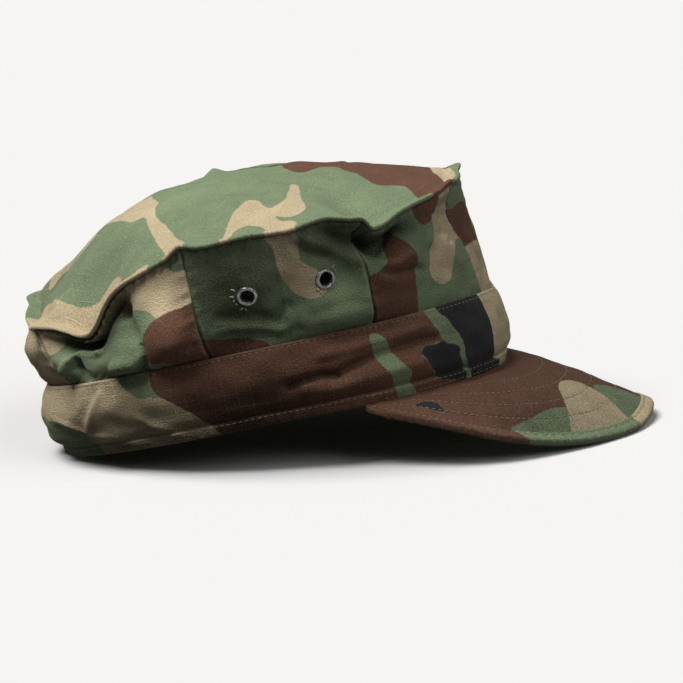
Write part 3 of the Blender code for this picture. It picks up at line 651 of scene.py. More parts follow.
def peak_surface(across, shares):
    """Upper face of the peak from the band to its edge, with its width and normal at each station."""
    base, side, reach, drop = (smooth_rows(name, across) for name in ("base", "side", "reach", "drop"))
    angle = np.radians(base)
    start = rim(angle, 0 * angle, -HEM_STEP - BAND_GAP)
    start[:, 2] -= BAND_GAP
    edge = [HEAD_LENGTH / 2 + PEAK_REACH * reach, PEAK_WIDTH / 2 * side, -PEAK_DROP * drop]
    edge = np.stack(edge, axis=-1)
    width = np.linalg.norm(edge - start, axis=-1)
    share = shares[None, :, None]
    run = start[:, None] * (1 - share) + edge[:, None] * share
    run[..., 2] += camber(shares[None], width[:, None])
    normal = unit(np.cross(edge - start, np.gradient(start + edge, axis=0)))
    return run, width, normal


def facing(grid):
    """Unit normals of a grid of points, one for each."""
    return unit(np.cross(np.gradient(grid, axis=0), np.gradient(grid, axis=1)))


def arc(points, axis=0):
    """Length run along a grid of points from its first row or column."""
    steps = np.linalg.norm(np.diff(points, axis=axis), axis=-1)
    start = np.zeros_like(np.take(steps, [0], axis=axis))
    return np.concatenate([start, np.cumsum(steps, axis=axis)], axis=axis)


def panel_chart(index):
    """Chart of a side panel: shares across and up to millimetres on the cloth."""
    places = index + np.linspace(0, 1, 41)
    shares = np.linspace(0, 1, 9)
    grid = side_surface(places, shares)
    widths = arc(grid)[-1] / MM
    height = arc(grid, axis=1)[:, -1].mean() / MM

    def to_cloth(across, up):
        return np.stack([(across - 0.5) * np.interp(up, shares, widths), up * height], axis=-1)

    return to_cloth


def band_chart():
    """Chart of the band: degrees round the head and share of its height to millimetres."""
    degrees = np.linspace(BAND_JOIN - 360, BAND_JOIN, 361)
    angle = np.radians(degrees)
    run = arc(rim(angle, BAND_HEIGHT / 2 + 0 * angle, 0)) / MM

    def to_cloth(degree, up):
        inner = np.interp(degree, degrees, run)
        beyond = (degree - np.clip(degree, degrees[0], degrees[-1])) * run[-1] / 360
        return np.stack([inner + beyond, up * BAND_HEIGHT / MM], axis=-1)

    return to_cloth


def top_chart():
    """Chart of the top: shares of half its length and width to millimetres."""

    def to_cloth(forward, side):
        return np.stack([forward * CROWN_LENGTH, side * CROWN_WIDTH], axis=-1) / 2 / MM

    return to_cloth


def peak_chart():
    """Chart of the peak and its binding: across from -1 to 1 and share out to millimetres."""
    across = np.linspace(-1, 1, 81)
    rows, width, _ = peak_surface(across, np.array([0.5]))
    run = arc(rows[:, 0]) / MM

    def to_cloth(side, out):
        inner = np.interp(side, across, run) + (side - np.clip(side, -1, 1)) * run[-1] / 2
        return np.stack([inner, out * np.interp(side, across, width / MM)], axis=-1)

    return to_cloth


CHARTS = {name: panel_chart(index) for index, name in enumerate(PANEL_NAMES)}
CHARTS["band"] = band_chart()
CHARTS["top_panel"] = top_chart()
CHARTS["peak"] = CHARTS["peak_binding"] = peak_chart()


def segment_distance(spots, starts, ends):
    """Distance from each spot to the nearest of the segments."""
    run = ends - starts
    away = spots[:, None] - starts[None]
    share = np.sum(away * run, axis=-1) / np.maximum(np.sum(run * run, axis=-1), 1e-9)
    return np.linalg.norm(away - run * np.clip(share, 0, 1)[..., None], axis=-1).min(axis=1)


def rounded(outline):
    """A closed outline made smooth through its points, with no swing past short sides."""
    after = np.roll(outline, -1, axis=0)
    length = np.maximum(np.linalg.norm(after - outline, axis=1, keepdims=True), 1e-6)
    ahead = (after - outline) / length
    behind, before = np.roll(ahead, 1, axis=0), np.roll(length, 1, axis=0)
    turn = (behind * length + ahead * before) / (length + before)
    leave, arrive = turn * length, np.roll(turn, -1, axis=0) * length
    parts = [hermite(t, outline, leave, after, arrive) for t in (0.0, 0.25, 0.5, 0.75)]
    return np.stack(parts, axis=1).reshape(-1, 2)


def depth_inside(spots, outline):
    """How far each spot lies inside an outline, below zero outside, no further than PRINT_REACH."""
    found = np.full(len(spots), -PRINT_REACH)
    near = np.all(
        (spots > outline.min(axis=0) - PRINT_REACH) & (spots < outline.max(axis=0) + PRINT_REACH), axis=1
    )
    if not near.any():
        return found
    close, ends = spots[near], np.roll(outline, -1, axis=0)
    rise = np.where(ends[:, 1] == outline[:, 1], 1e-9, ends[:, 1] - outline[:, 1])
    level = (close[:, None, 1] - outline[:, 1]) / rise
    crossing = (outline[:, 1] > close[:, None, 1]) != (ends[:, 1] > close[:, None, 1])
    beyond = close[:, None, 0] < outline[:, 0] + level * (ends[:, 0] - outline[:, 0])
    inside = np.sum(crossing & beyond, axis=1) % 2 == 1
    distance = np.minimum(segment_distance(close, outline, ends), PRINT_REACH)
    found[near] = np.where(inside, distance, -distance)
    return found


INKS = ("tan", "brown", "black")


def overprint(fields, ink, depth):
    """Lays one inked shape over the fields, and takes the other inks away under it."""
    for name in INKS:
        if name == ink:
            fields[name] = np.maximum(fields[name], depth)
        else:
            fields[name] = np.minimum(fields[name], -depth)


def blank(count):
    return {name: np.full(count, -PRINT_REACH) for name in INKS}


def charted_print(piece, across, up):
    """Depth of each ink at points of a piece's chart, in millimetres."""
    to_cloth = CHARTS[piece]
    spots = to_cloth(across, up)
    fields = blank(spots[..., 0].size)
    for shape in PRINT[piece]:
        outline = rounded(to_cloth(*np.array(shape["outline"], float).T))
        overprint(fields, shape["ink"], depth_inside(spots.reshape(-1, 2), outline))
    return {name: values.reshape(spots.shape[:-1]) for name, values in fields.items()}


def print_and_painted_shading(piece, across, up):
    """Inks, and brightness with its painted light and shade, at points of a piece's chart."""
    return dict(charted_print(piece, across, up), tone=painted_shading_and_tone(piece, across, up))


def make_repeat():
    """Depth of each ink over one tile of the repeat, a millimetre apart."""
    wide, tall = REPEAT_SIZE
    u, v = np.meshgrid(np.arange(wide), np.arange(tall), indexing="ij")
    spots = np.stack([u, v], axis=-1).reshape(-1, 2).astype(float)
    fields = blank(len(spots))
    for shape in REPEAT:
        outline = rounded(np.array(shape["outline"], float))
        for across in (-wide, 0, wide):
            for up in (-tall, 0, tall):
                overprint(fields, shape["ink"], depth_inside(spots, outline + [across, up]))
    return {name: values.reshape(wide, tall) for name, values in fields.items()}


TILE = make_repeat()


def turned(cloth, degrees):
    """Cloth coordinates turned to the piece's grain."""
    turn = math.radians(degrees)
    u = cloth[..., 0] * math.cos(turn) - cloth[..., 1] * math.sin(turn)
    v = cloth[..., 0] * math.sin(turn) + cloth[..., 1] * math.cos(turn)
    return np.stack([u, v], axis=-1)


def repeated_print(cloth, turn, start):
    """Depth of each ink where the repeat runs over cloth laid out in metres, with no painted light or
    shade.
    """
    u, v = np.moveaxis(turned(cloth, turn) / MM + start, -1, 0)
    wide, tall = REPEAT_SIZE
    left, low = np.floor(u).astype(int), np.floor(v).astype(int)
    du, dv = u - left, v - low
    made = {}
    for name, tile in TILE.items():
        corner = [tile[(left + a) % wide, (low + b) % tall] for a in (0, 1) for b in (0, 1)]
        near, far = ((1 - dv) * corner[k] + dv * corner[k + 1] for k in (0, 2))
        made[name] = (1 - du) * near + du * far
    made["tone"] = 0 * u
    return made


def creased(piece, across, up):
    """Height of a piece's creases above its plain surface."""
    to_cloth = CHARTS[piece]
    spots = to_cloth(across, up)
    flat = spots.reshape(-1, 2)
    raised, sunk = np.zeros(len(flat)), np.zeros(len(flat))
    for crease in CREASES[piece]:
        route = to_cloth(*np.array(crease["line"], float).T)
        away = segment_distance(flat, route[:-1], route[1:])
        height = crease["deep"] * CREASE_DEPTH * bell(away, crease["wide"])
        raised, sunk = np.maximum(raised, height), np.minimum(sunk, height)
    return (raised + sunk).reshape(spots.shape[:-1])


# Long soft waves that loose cloth takes: reach in millimetres, turn in degrees, phase, height in mm.
RIPPLES = table(
    "reach turn phase height",
    (31, 20, 0.3, 0.22),
    (23, 95, 1.9, 0.18),
    (17, -38, 4.1, 0.14),
    (13, 58, 2.6, 0.10),
    (9, -72, 0.9, 0.06),
)


def rippled(cloth, share=1.0):
    """Height of the cloth's own waves, bent a little so that they don't run straight."""
    u, v = cloth[..., 0] / MM, cloth[..., 1] / MM
    bend_u = u + 4 * np.sin(v / 19 + 1.3)
    bend_v = v + 4 * np.sin(u / 23 + 0.4)
    height = 0 * u
    for wave in RIPPLES:
        turn = math.radians(wave["turn"])
        along = bend_u * math.cos(turn) + bend_v * math.sin(turn)
        height = height + wave["height"] * np.sin(2 * math.pi * along / wave["reach"] + wave["phase"])
    return height * share * MM


# Small gathers beside the sewn lines: their pitch, their reach from the line and their height, all
# in millimetres.
GATHERS = dict(
    seam=(7.0, 4.0, 0.28),
    side_top=(5.5, 3.5, 0.35),
    side_foot=(6.0, 3.0, 0.20),
    top=(9.0, 5.0, 0.20),
    lip=(9.0, 4.0, 0.07),
    welt=(7.0, 3.5, 0.12),
    band_top=(6.0, 3.5, 0.26),
    hem=(7.0, 4.0, 0.30),
    binding=(5.0, 4.0, 0.16),
)


def puckered(gathers, run, away=0.0):
    """Height of the gathers beside a line, by the length run along it and the distance from it."""
    pitch, reach, height = GATHERS[gathers]
    run, away = run / MM, away / MM
    gather = np.sin(2 * math.pi * run / pitch + 1.4 * np.sin(run / 11))
    gather = gather + 0.5 * np.sin(2 * math.pi * run / (pitch * 0.57) + 0.8)
    return height * MM * gather * np.exp(-away / reach)


def seat_of_cap():
    """Tip of the cap, and the shift that lays its band in the frame's band."""
    tip = np.array(Matrix.Rotation(-TILT, 3, "Y"))
    angle = np.radians(np.linspace(0, 360, 361))
    heights = np.linspace(0, 1, 12)
    rows = [rim(angle, BAND_HEIGHT * share + 0 * angle, 0 * angle, slack=0.0) for share in heights]
    points = np.concatenate(rows) @ tip.T
    low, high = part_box("band")
    middle = (points.max(axis=0) + points.min(axis=0)) / 2
    shift = (np.array(low) + np.array(high)) / 2 - middle
    shift[2] = high.z - points[:, 2].max()
    return tip, shift


TIP, SHIFT = seat_of_cap()


def laid(points):
    """Points of the cap's own frame in the resting pose, with what would sink pressed on the floor."""
    rest = points @ TIP.T + SHIFT
    rest[..., 2] = np.maximum(rest[..., 2], 0.0)
    return rest


class Value:
    """A number that varies over a surface, whose arithmetic adds Math nodes."""

    def __init__(self, finish, socket):
        self.finish = finish
        self.socket = socket

    def __add__(self, other):
        return self.finish.maths("ADD", self, other)

    def __sub__(self, other):
        return self.finish.maths("SUBTRACT", self, other)

    def __mul__(self, other):
        return self.finish.maths("MULTIPLY", self, other)

    __radd__ = __add__


class Finish:
    """A material under construction."""

    def __init__(self, name, **constants):
        self.material = bpy.data.materials.new(name)
        self.material.use_nodes = True
        self.tree = self.material.node_tree
        self.shader = self.tree.nodes["Principled BSDF"]
        self.shade(**constants)

    def shade(self, **sockets):
        """Sets or links sockets of the shader."""
        for name, value in sockets.items():
            self.feed(self.shader.inputs[name.replace("_", " ")], value)

    def node(self, kind, settings=None, **inputs):
        """Adds a node with its settings, then the values or links of its sockets by identifier."""
        made = self.tree.nodes.new(kind)
        for setting, value in (settings or {}).items():
            setattr(made, setting, value)
        sockets = {socket.identifier: socket for socket in made.inputs}
        for name, value in inputs.items():
            self.feed(sockets[name], value)
        return made

    def feed(self, socket, value):
        if isinstance(value, Value):
            self.tree.links.new(value.socket, socket)
        else:
            socket.default_value = value

    def maths(self, operation, *values):
        made = self.tree.nodes.new("ShaderNodeMath")
        made.operation = operation
        for socket, value in zip(made.inputs, values):
            self.feed(socket, value)
        return Value(self, made.outputs[0])

    def step(self, value, low, high):
        """Smooth step from 0 at low to 1 at high."""
        made = self.node("ShaderNodeMapRange", dict(interpolation_type="SMOOTHSTEP"), Value=value)
        made.inputs["From Min"].default_value = low
        made.inputs["From Max"].default_value = high
        return Value(self, made.outputs["Result"])

    def mix(self, share, first, second):
        """Colour between two colours."""
        made = self.node(
            "ShaderNodeMix", dict(data_type="RGBA"), Factor_Float=share, A_Color=first, B_Color=second
        )
        outputs = {socket.identifier: socket for socket in made.outputs}
        return Value(self, outputs["Result_Color"])

    def tinted(self, colour, amount):
        """A colour made lighter or darker by a varying number."""
        grey = self.node("ShaderNodeCombineXYZ", X=amount, Y=amount, Z=amount)
        return self.times(colour if isinstance(colour, Value) else colour[:3], Value(self, grey.outputs[0]))

    def times(self, first, second):
        """Product of two vectors, part by part."""
        made = self.node("ShaderNodeVectorMath", dict(operation="MULTIPLY"))
        for socket, value in zip(made.inputs, (first, second)):
            self.feed(socket, value)
        return Value(self, made.outputs[0])

    def attribute(self, name):
        return Value(self, self.node("ShaderNodeAttribute", dict(attribute_name=name)).outputs["Fac"])

    def cloth(self, stretch=(1, 1, 1)):
        """The piece's own cloth coordinates, in metres, stretched."""
        laid_out = self.node("ShaderNodeUVMap", dict(uv_map="cloth"))
        return self.times(Value(self, laid_out.outputs["UV"]), stretch)

    def noise(self, scale, detail, stretch=(1, 1, 1)):
        """Noise about zero, its scale in waves to the metre."""
        made = self.node(
            "ShaderNodeTexNoise", Vector=self.cloth(stretch), Scale=scale, Detail=detail, Roughness=0.6
        )
        return Value(self, made.outputs[0]) - 0.5

    def solid_noise(self, scale):
        """Noise from 0 to 1 through the piece, its scale in waves to the metre."""
        place = Value(self, self.node("ShaderNodeTexCoord").outputs["Object"])
        made = self.node("ShaderNodeTexNoise", Vector=place, Scale=scale, Detail=2.0)
        return Value(self, made.outputs[0])

    def bump(self, height, distance):
        made = self.node("ShaderNodeBump", Height=height, Distance=distance, Strength=1.0)
        self.shade(Normal=Value(self, made.outputs[0]))


# Inks and ground of the print, as linear colours.
INK_COLOURS = {
    "green": (0.163, 0.212, 0.122, 1),
    "tan": (0.440, 0.360, 0.230, 1),
    "brown": (0.118, 0.057, 0.036, 1),
    "black": (0.017, 0.015, 0.021, 1),
}
REVERSE = (0.150, 0.150, 0.105, 1)
FLECKS = (0.34, 0.33, 0.24, 1)
BLACKED_STEEL = (0.16, 0.168, 0.155, 1)
BARE_STEEL = (0.32, 0.33, 0.305, 1)
RIPSTOP = 5.6 * MM


def ripstop_lines(finish):
    """Mask of the thicker yarns that cross the cloth in squares."""
    parts = finish.node("ShaderNodeSeparateXYZ", Vector=finish.cloth((1 / RIPSTOP,) * 3))
    masks = []
    for axis, seed in ((0, 31), (1, 47)):
        wander = finish.noise(seed, 1.0) * 0.06
        place = finish.maths("FRACT", Value(finish, parts.outputs[axis]) + wander)
        masks.append(finish.step(finish.maths("ABSOLUTE", place - 0.5), 0.465, 0.495))
    return finish.maths("MAXIMUM", masks[0], masks[1] * 0.8)


def printed_cloth(name, faded=0.0):
    """Ripstop cotton printed in four colours, or its paler reverse."""
    finish = Finish(name, Roughness=0.92, Specular_IOR_Level=0.12, Sheen_Weight=0.03, Sheen_Roughness=0.5)
    ragged = finish.noise(230, 3.0) * 1.5 + finish.noise(900, 1.0) * 0.7
    inks = {ink: finish.step(finish.attribute(ink) + ragged, -0.28, 0.28) for ink in INKS}
    colour = finish.mix(inks["tan"], INK_COLOURS["green"], INK_COLOURS["tan"])
    colour = finish.mix(inks["brown"], colour, INK_COLOURS["brown"])
    lines = ripstop_lines(finish) * finish.step(finish.noise(60, 2.0), -0.08, 0.14)
    warp = finish.noise(1500, 1.0, (1.0, 0.55, 1.0))
    weft = finish.noise(1500, 1.0, (0.55, 1.0, 1.0))
    grain = warp + weft
    blotch = finish.noise(110, 4.0)
    worn = finish.attribute("worn")
    speck = finish.noise(1700, 1.0)
    tone = 1 + grain * 0.45 + speck * 0.9 + blotch * 0.42 + lines * 0.52
    # The attribute added here brings in the painted light and shade of the patches and the welt, in part
    # the cloth's own darker colour.
    tone = tone + finish.attribute("tone") + worn * 0.3
    flecks = finish.step(grain * 0.5 + speck, 0.02, 0.30)
    colour = finish.mix(flecks * 0.10 + lines * 0.10 + worn * 0.14, colour, FLECKS)
    colour = finish.mix(inks["black"] * 0.95, colour, INK_COLOURS["black"])
    if faded:
        colour = finish.mix(faded, colour, REVERSE)
    finish.shade(Base_Color=finish.tinted(colour, tone))
    finish.bump(grain * 0.7 + speck * 1.4 + lines * 0.7, 0.30 * MM)
    return finish.material


def eyelet_metal():
    """Dull rolled steel, darker where the blacking is left."""
    finish = Finish("eyelet_metal", Metallic=0.6, Specular_IOR_Level=0.5)
    cloud = finish.solid_noise(600.0)
    colour = finish.mix(finish.step(cloud, 0.40, 0.75), BLACKED_STEEL, BARE_STEEL)
    finish.shade(Base_Color=colour, Roughness=cloud * 0.16 + 0.20)
    return finish.material


def thread(name, colour):
    """Twisted sewing thread."""
    finish = Finish(name, Roughness=0.75, Specular_IOR_Level=0.3)
    finish.shade(Base_Color=finish.tinted(colour, finish.solid_noise(700.0) * 0.9 + 0.55))
    return finish.material


FINISHES = {
    "face": printed_cloth("printed_ripstop"),
    "reverse": printed_cloth("printed_ripstop_reverse", faded=0.62),
    "metal": eyelet_metal(),
    "thread": thread("olive_thread", (0.150, 0.135, 0.085, 1)),
    "gold_thread": thread("drab_thread", (0.225, 0.185, 0.112, 1)),
    "pale_thread": thread("frayed_thread", (0.42, 0.44, 0.38, 1)),
}


def add(name, data):
    """Puts an object in the scene, at the origin."""
    made = bpy.data.objects.new(name, data)
    bpy.context.scene.collection.objects.link(made)
    return made


def keep(mesh, replaced=(), finish=None):
    """Adds a finished mesh to the scene as a piece of the cap, with the mesh's name."""
    if finish:
        mesh.materials.append(FINISHES[finish])
    made = add(mesh.name, mesh)
    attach(made, "root")
    if replaced:
        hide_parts(*replaced)
    return made


@contextmanager
def shaping(mesh):
    """A bmesh of a mesh, written back to it at the end."""
    shape = bmesh.new()
    shape.from_mesh(mesh)
    yield shape
    shape.to_mesh(mesh)
    shape.free()


def woven(name, points, cloth, fields, away_from=None):
    """Mesh of a grid of points, with its cloth coordinates and the values printed on it.

    A sheet's faces are turned away from away_from. Without it the grid is a closed section.
    """
    columns, rows = points.shape[:2]
    mesh = bpy.data.meshes.new(name)
    with shaping(mesh) as shape:
        bmesh.ops.create_grid(shape, x_segments=columns - 1, y_segments=rows - 1, size=0.5)
    flat = np.empty(len(mesh.vertices) * 3, np.float32)
    mesh.vertices.foreach_get("co", flat)
    column_of = np.rint((flat[0::3] + 0.5) * (columns - 1)).astype(int)
    row_of = np.rint((flat[1::3] + 0.5) * (rows - 1)).astype(int)
    placed = laid(points)[column_of, row_of]
    mesh.vertices.foreach_set("co", placed.ravel())
    corners = np.empty(len(mesh.loops), int)
    mesh.loops.foreach_get("vertex_index", corners)
    spread = mesh.uv_layers.new(name="cloth")
    spread.uv.foreach_set("vector", cloth[column_of, row_of][corners].ravel())
    for field, values in fields.items():
        values = np.broadcast_to(values, (columns, rows))[column_of, row_of]
        mesh.attributes.new(field, "FLOAT", "POINT").data.foreach_set("value", values)
    mesh.shade_smooth()
    finish_faces(mesh, away_from)
    return mesh


def finish_faces(mesh, away_from):
    """Turns a sheet's faces away from a place, or welds a closed section and turns its faces outwards."""
    with shaping(mesh) as shape:
        if away_from is None:
            bmesh.ops.remove_doubles(shape, verts=shape.verts[:], dist=WELD)
            open_ends = [edge for edge in shape.edges if edge.is_boundary]
            if open_ends:
                bmesh.ops.holes_fill(shape, edges=open_ends, sides=0)
            bmesh.ops.recalc_face_normals(shape, faces=shape.faces[:])
        else:
            centre = Vector(laid(np.array(away_from, float)))
            away = [face.normal.dot(face.calc_center_median() - centre) > 0 for face in shape.faces]
            if 2 * sum(away) < len(away):
                bmesh.ops.reverse_faces(shape, faces=shape.faces[:])


WELD = 1e-6
CROWN_MIDDLE = (-DOME_BACK, 0, BAND_HEIGHT + CROWN_RISE + CROWN_DOME)
CROWN_CENTRE = (-DOME_BACK, 0, BAND_HEIGHT)
CROWN_BELOW = (-DOME_BACK, 0, -10 * CROWN_RISE)


def thicken(piece, thickness):
    """Gives a sheet its wall, inwards from its face, lined with the paler reverse."""
    for finish in ("face", "reverse"):
        piece.data.materials.append(FINISHES[finish])
    wall = piece.modifiers.new("wall", "SOLIDIFY")
    wall.thickness = thickness
    wall.offset = -1.0
    wall.material_offset = 1
    wall.use_quality_normals = True


def spaced(length, step, edges):
    """Shares from 0 to 1, step apart, with closer rows at both ends."""
    near = np.array(edges)
    inner = np.linspace(near[-1], length - near[-1], max(int((length - 2 * near[-1]) / step), 2) + 1)
    return np.concatenate([near[:-1], inner, length - near[-2::-1]]) / length


SEAM_ROWS = tuple(np.array([0.0, 0.22, 0.48, 0.8, 1.2, 1.7, 2.4, 3.2]) * MM)
SEAM_SLIT = 0.06 * MM
SEAM_SINK = 1.3 * MM
SEAM_ROUND = 0.55 * MM
SIDE_TUCK = 2.0 * MM
FOOT_SINK = 0.6 * MM
FOOT_ROUND = 2.4 * MM
SIDE_FOOT = 2.0 * MM
PANEL_STEP = 0.72 * MM
WAVE_HOLD = 3.0 * MM
SEAM_HOLD = 0.7 * MM
SEAM_WEAR_IN = 1.2 * MM
DARKEST = -0.82

# Patches of lighter and darker cloth, most of them painted shade (under the lip, in the pockets, on the
# lower and rear band, over the peak's outer part and on the back panel) and painted light (on lit bulges,
# and nearer the middle of the top); the darker rear half of the right eyelet panel is partly the cloth's
# own colour and partly painted shade. at is in the piece's chart, wide and tall are in millimetres, and the
# last column is what a patch adds to the cloth's brightness. Together they darken it by no more than
# DARKEST.
PAINTED_SHADING_AND_TONE_PATCHES = tables(
    "at wide tall tone",
    # Painted shade on the rear half, where the cloth's own colour is also darker; painted light lower on
    # the front half; painted shade in the pocket under the lip.
    eyelet_panel_right=[
        ((0.80, 0.42), 18, 30, -0.56),
        ((0.20, 0.36), 16, 20, 0.22),
        ((0.13, 0.86), 13, 9, -0.60),
    ],
    # Painted shade in the pocket at the seam and under the lip.
    front_side_panel_right=[
        ((0.87, 0.85), 10, 8, -0.72),
        ((0.96, 0.93), 12, 8, -0.42),
        ((0.60, 0.92), 12, 6, -0.55),
    ],
    # Painted shade under the lip, in the pocket and in a hollow lower down; painted light on the bulge
    # beside its front seam.
    rear_side_panel_right=[
        ((0.76, 0.86), 10, 7, -0.60),
        ((0.46, 0.87), 8, 7, -0.75),
        ((0.57, 0.78), 7, 7, -0.60),
        ((0.13, 0.60), 17, 26, 0.55),
        ((0.54, 0.34), 12, 12, -0.18),
    ],
    # Painted shade.
    back_panel=[((0.15, 0.50), 34, 30, -0.35)],
    # Painted shade on the lower band where it turns under, over the rear and beside the front fold.
    band=[
        ((-95, 0.04), 34, 14, -0.80),
        ((-88, 0.52), 26, 12, -0.22),
        ((-132, 0.05), 34, 5, -0.40),
        ((-37, 0.55), 16, 18, -0.25),
        ((-130, 0.60), 34, 40, -0.28),
    ],
    # Painted shade over the peak's outer part.
    peak=[
        ((-0.42, 0.82), 26, 18, -0.22),
        ((0.0, 0.90), 150, 50, -0.52),
    ],
    # Painted shade along the binding.
    peak_binding=[((0.0, 0.60), 150, 70, -0.32)],
    # Painted shade in a sag and at the edge at the rear; painted light nearer the middle.
    top_panel=[
        ((-0.60, -0.42), 16, 9, -0.18),
        ((-0.10, 0.05), 30, 30, 0.07),
        ((-0.22, -0.30), 24, 14, 0.16),
        ((-0.82, 0.18), 14, 16, -0.30),
    ],
)


def painted_shading_and_tone(piece, across, up):
    """Painted light and shade of a piece, in part the cloth's own darker colour: its patches of lighter and
    darker cloth.
    """
    to_cloth = CHARTS[piece]
    spots = to_cloth(across, up)
    tone = 0 * spots[..., 0]
    for patch in PAINTED_SHADING_AND_TONE_PATCHES.get(piece, ()):
        away = (spots - to_cloth(*np.array(patch["at"], float))) / [patch["wide"], patch["tall"]]
        tone = tone + patch["tone"] * np.exp(-np.sum(away**2, axis=-1))
    return np.maximum(tone, DARKEST)


def dressed_side(index, across, shares):
    """A side panel's face with its creases, waves and gathers, for a grid of shares."""
    name = PANEL_NAMES[index]
    grid = side_surface(index + across, shares)
    normal = -facing(grid)
    width = arc(grid)
    tall = arc(grid, axis=1)
    sideways = np.minimum(width, width[-1:] - width)
    upwards = np.minimum(tall, tall[:, -1:] - tall)
    u, v = np.meshgrid(across, shares, indexing="ij")
    cloth = CHARTS[name](u, v) * MM
    held = grown(np.minimum(sideways, upwards), WAVE_HOLD)
    push = creased(name, u, v) * held + rippled(cloth + [[0.4 * index, 0.1 * index]]) * held
    push = push + puckered("seam", tall + 0.01 * index, sideways) * grown(sideways, SEAM_HOLD)
    push = push + puckered("side_top", width, tall[:, -1:] - tall) + puckered("side_foot", width, tall)
    push = push - SEAM_SINK * np.exp(-((sideways / SEAM_ROUND) ** 1.5))
    push = push - FOOT_SINK * np.exp(-((tall / FOOT_ROUND) ** 1.5))
    return grid + normal * push[..., None], cloth, (u, v), sideways


def make_side_panel(index):
    """One cloth side, from the band to the edge of the top."""
    panel = PANELS[index]
    rough = side_surface(index + np.linspace(0, 1, 21), np.array([0.0, 0.5, 1.0]))
    length = arc(rough)[-1, 1]
    height = arc(rough, axis=1)[:, -1].max()
    across = spaced(length, PANEL_STEP, SEAM_ROWS)
    across = np.clip(across, SEAM_SLIT / length, 1 - SEAM_SLIT / length)
    shares = np.linspace(-SIDE_FOOT / height, 1 + SIDE_TUCK / height, int(height / PANEL_STEP) + 1)
    points, cloth, (u, v), sideways = dressed_side(index, across, shares)
    fields = print_and_painted_shading(panel["name"], u, v)
    fields["worn"] = 0.40 * bell(sideways - SEAM_WEAR_IN, SEAM_HOLD)
    cloth = turned(cloth, panel["grain"]) + 0.31 * index
    mesh = woven(panel["name"] + "_cloth", points, cloth, fields, CROWN_CENTRE)
    for place in EYELET_PLACES:
        if int(place) == index:
            punch(mesh, place)
    thicken(keep(mesh, [panel["name"]]), CLOTH)


TAPE_REACH = 0.045
TAPE_GAP = 0.5 * MM
TAPE_PLY = 0.4 * MM


def make_tapes():
    """Strips felled over the seams inside, from the band to the top."""
    shares = np.linspace(-0.02, 1.0, 60)
    for index in range(len(PANELS)):
        places = index + np.linspace(-TAPE_REACH, TAPE_REACH, 9)
        grid = side_surface(places, shares)
        sideways = np.linalg.norm(grid - grid[4:5], axis=-1)
        inset = CLOTH + TAPE_GAP + SEAM_SINK * bell(sideways, 1.6 * MM)
        points = grid - outward(foot_angle(places))[:, None] * inset[..., None]
        cloth = np.stack([sideways + 0.2 * index, arc(grid, axis=1)], axis=-1)
        fields = repeated_print(cloth, 30, (20 * index, 35))
        fields["worn"] = 0 * sideways
        mesh = woven(f"seam_tape_{index + 1}", points, cloth, fields, CROWN_CENTRE)
        thicken(keep(mesh), TAPE_PLY)


def punch(mesh, place):
    """Opens a panel where an eyelet goes, just wider than its hole."""
    centre = eyelet_seat(place).translation
    with shaping(mesh) as shape:
        opened = [vert for vert in shape.verts if (vert.co - centre).length < EYELET_OPENING]
        bmesh.ops.delete(shape, geom=opened, context="VERTS")


def seated(along, side, up, place):
    """Matrix with these three ways for its axes, at a place."""
    seat = Matrix(np.stack([along, side, up], axis=1).tolist()).to_4x4()
    seat.translation = Vector(place)
    return seat


SEAT_STEP = 0.03


def eyelet_seat(place):
    """Matrix of an eyelet's seat on the dressed side: +Z out of the cloth."""
    index = int(place)
    steps = np.array([-SEAT_STEP, 0, SEAT_STEP])
    across, shares = (np.concatenate([[0], middle + steps, [1]]) for middle in (place - index, EYELET_UP))
    grid = laid(dressed_side(index, across, shares)[0])[1:-1, 1:-1]
    along = unit(grid[2, 1] - grid[0, 1])
    out = -unit(np.cross(along, grid[1, 2] - grid[1, 0]))
    return seated(along, np.cross(out, along), out, grid[1, 1])


TOP_DENSITY = 6
TOP_RINGS = np.concatenate([np.linspace(0.012, 0.9, 58), np.linspace(0.912, 1.0, 12)])


def lip_frame():
    """The crown's edge round the cap: its line, and the ways up, out across it and down the sides."""
    places = stations(TOP_DENSITY)
    line = welt_line(places)
    below = side_surface(places, np.array([1.0]))[:, 0]
    beside = top_surface(TOP_DENSITY, np.array([1.0]))[:, 0]
    down, inward = unit(below - line), unit(beside - line)
    return places, line, -unit(down + inward), unit(down - inward), down


# Section of the rolled lip, from the top's edge over the ridge and down under it: across and up in
# millimetres from the edge's line.
LIP_SECTION = table(
    "across up",
    (-1.10, 0.40),
    (-0.70, 1.20),
    (-0.15, 1.75),
    (0.55, 1.85),
    (1.15, 1.40),
    (1.40, 0.70),
    (1.25, 0.05),
    (0.85, -0.25),
    (0.35, -0.05),
)
LIP_GROOVE = 0.8 * MM
LIP_GROOVE_IN = 2.6 * MM
LIP_GROOVE_ROUND = 1.5 * MM
TOP_WAVES = 1.6
TOP_WAVE_HOLD = 6.0 * MM
TOP_CREASE_HOLD = 1.8 * MM
TOP_GATHER_HOLD = 1.5 * MM
LIP_RIDGE = 12
LIP_WEAR = 5.0
TOP_GRAIN = -52


def chaikin(points, rounds):
    """Rounds off a run of points along its second axis, with its ends held."""
    for _ in range(rounds):
        near = 0.75 * points[:, :-1] + 0.25 * points[:, 1:]
        far = 0.25 * points[:, :-1] + 0.75 * points[:, 1:]
        cut = np.stack([near, far], axis=2).reshape(len(points), -1, 3)
        points = np.concatenate([points[:, :1], cut, points[:, -1:]], axis=1)
    return points


def on_top(points):
    """Place of points on the top's chart, and on its cloth."""
    forward, side = points[..., 0] / (CROWN_LENGTH / 2), points[..., 1] / (CROWN_WIDTH / 2)
    return forward, side, CHARTS["top_panel"](forward, side) * MM


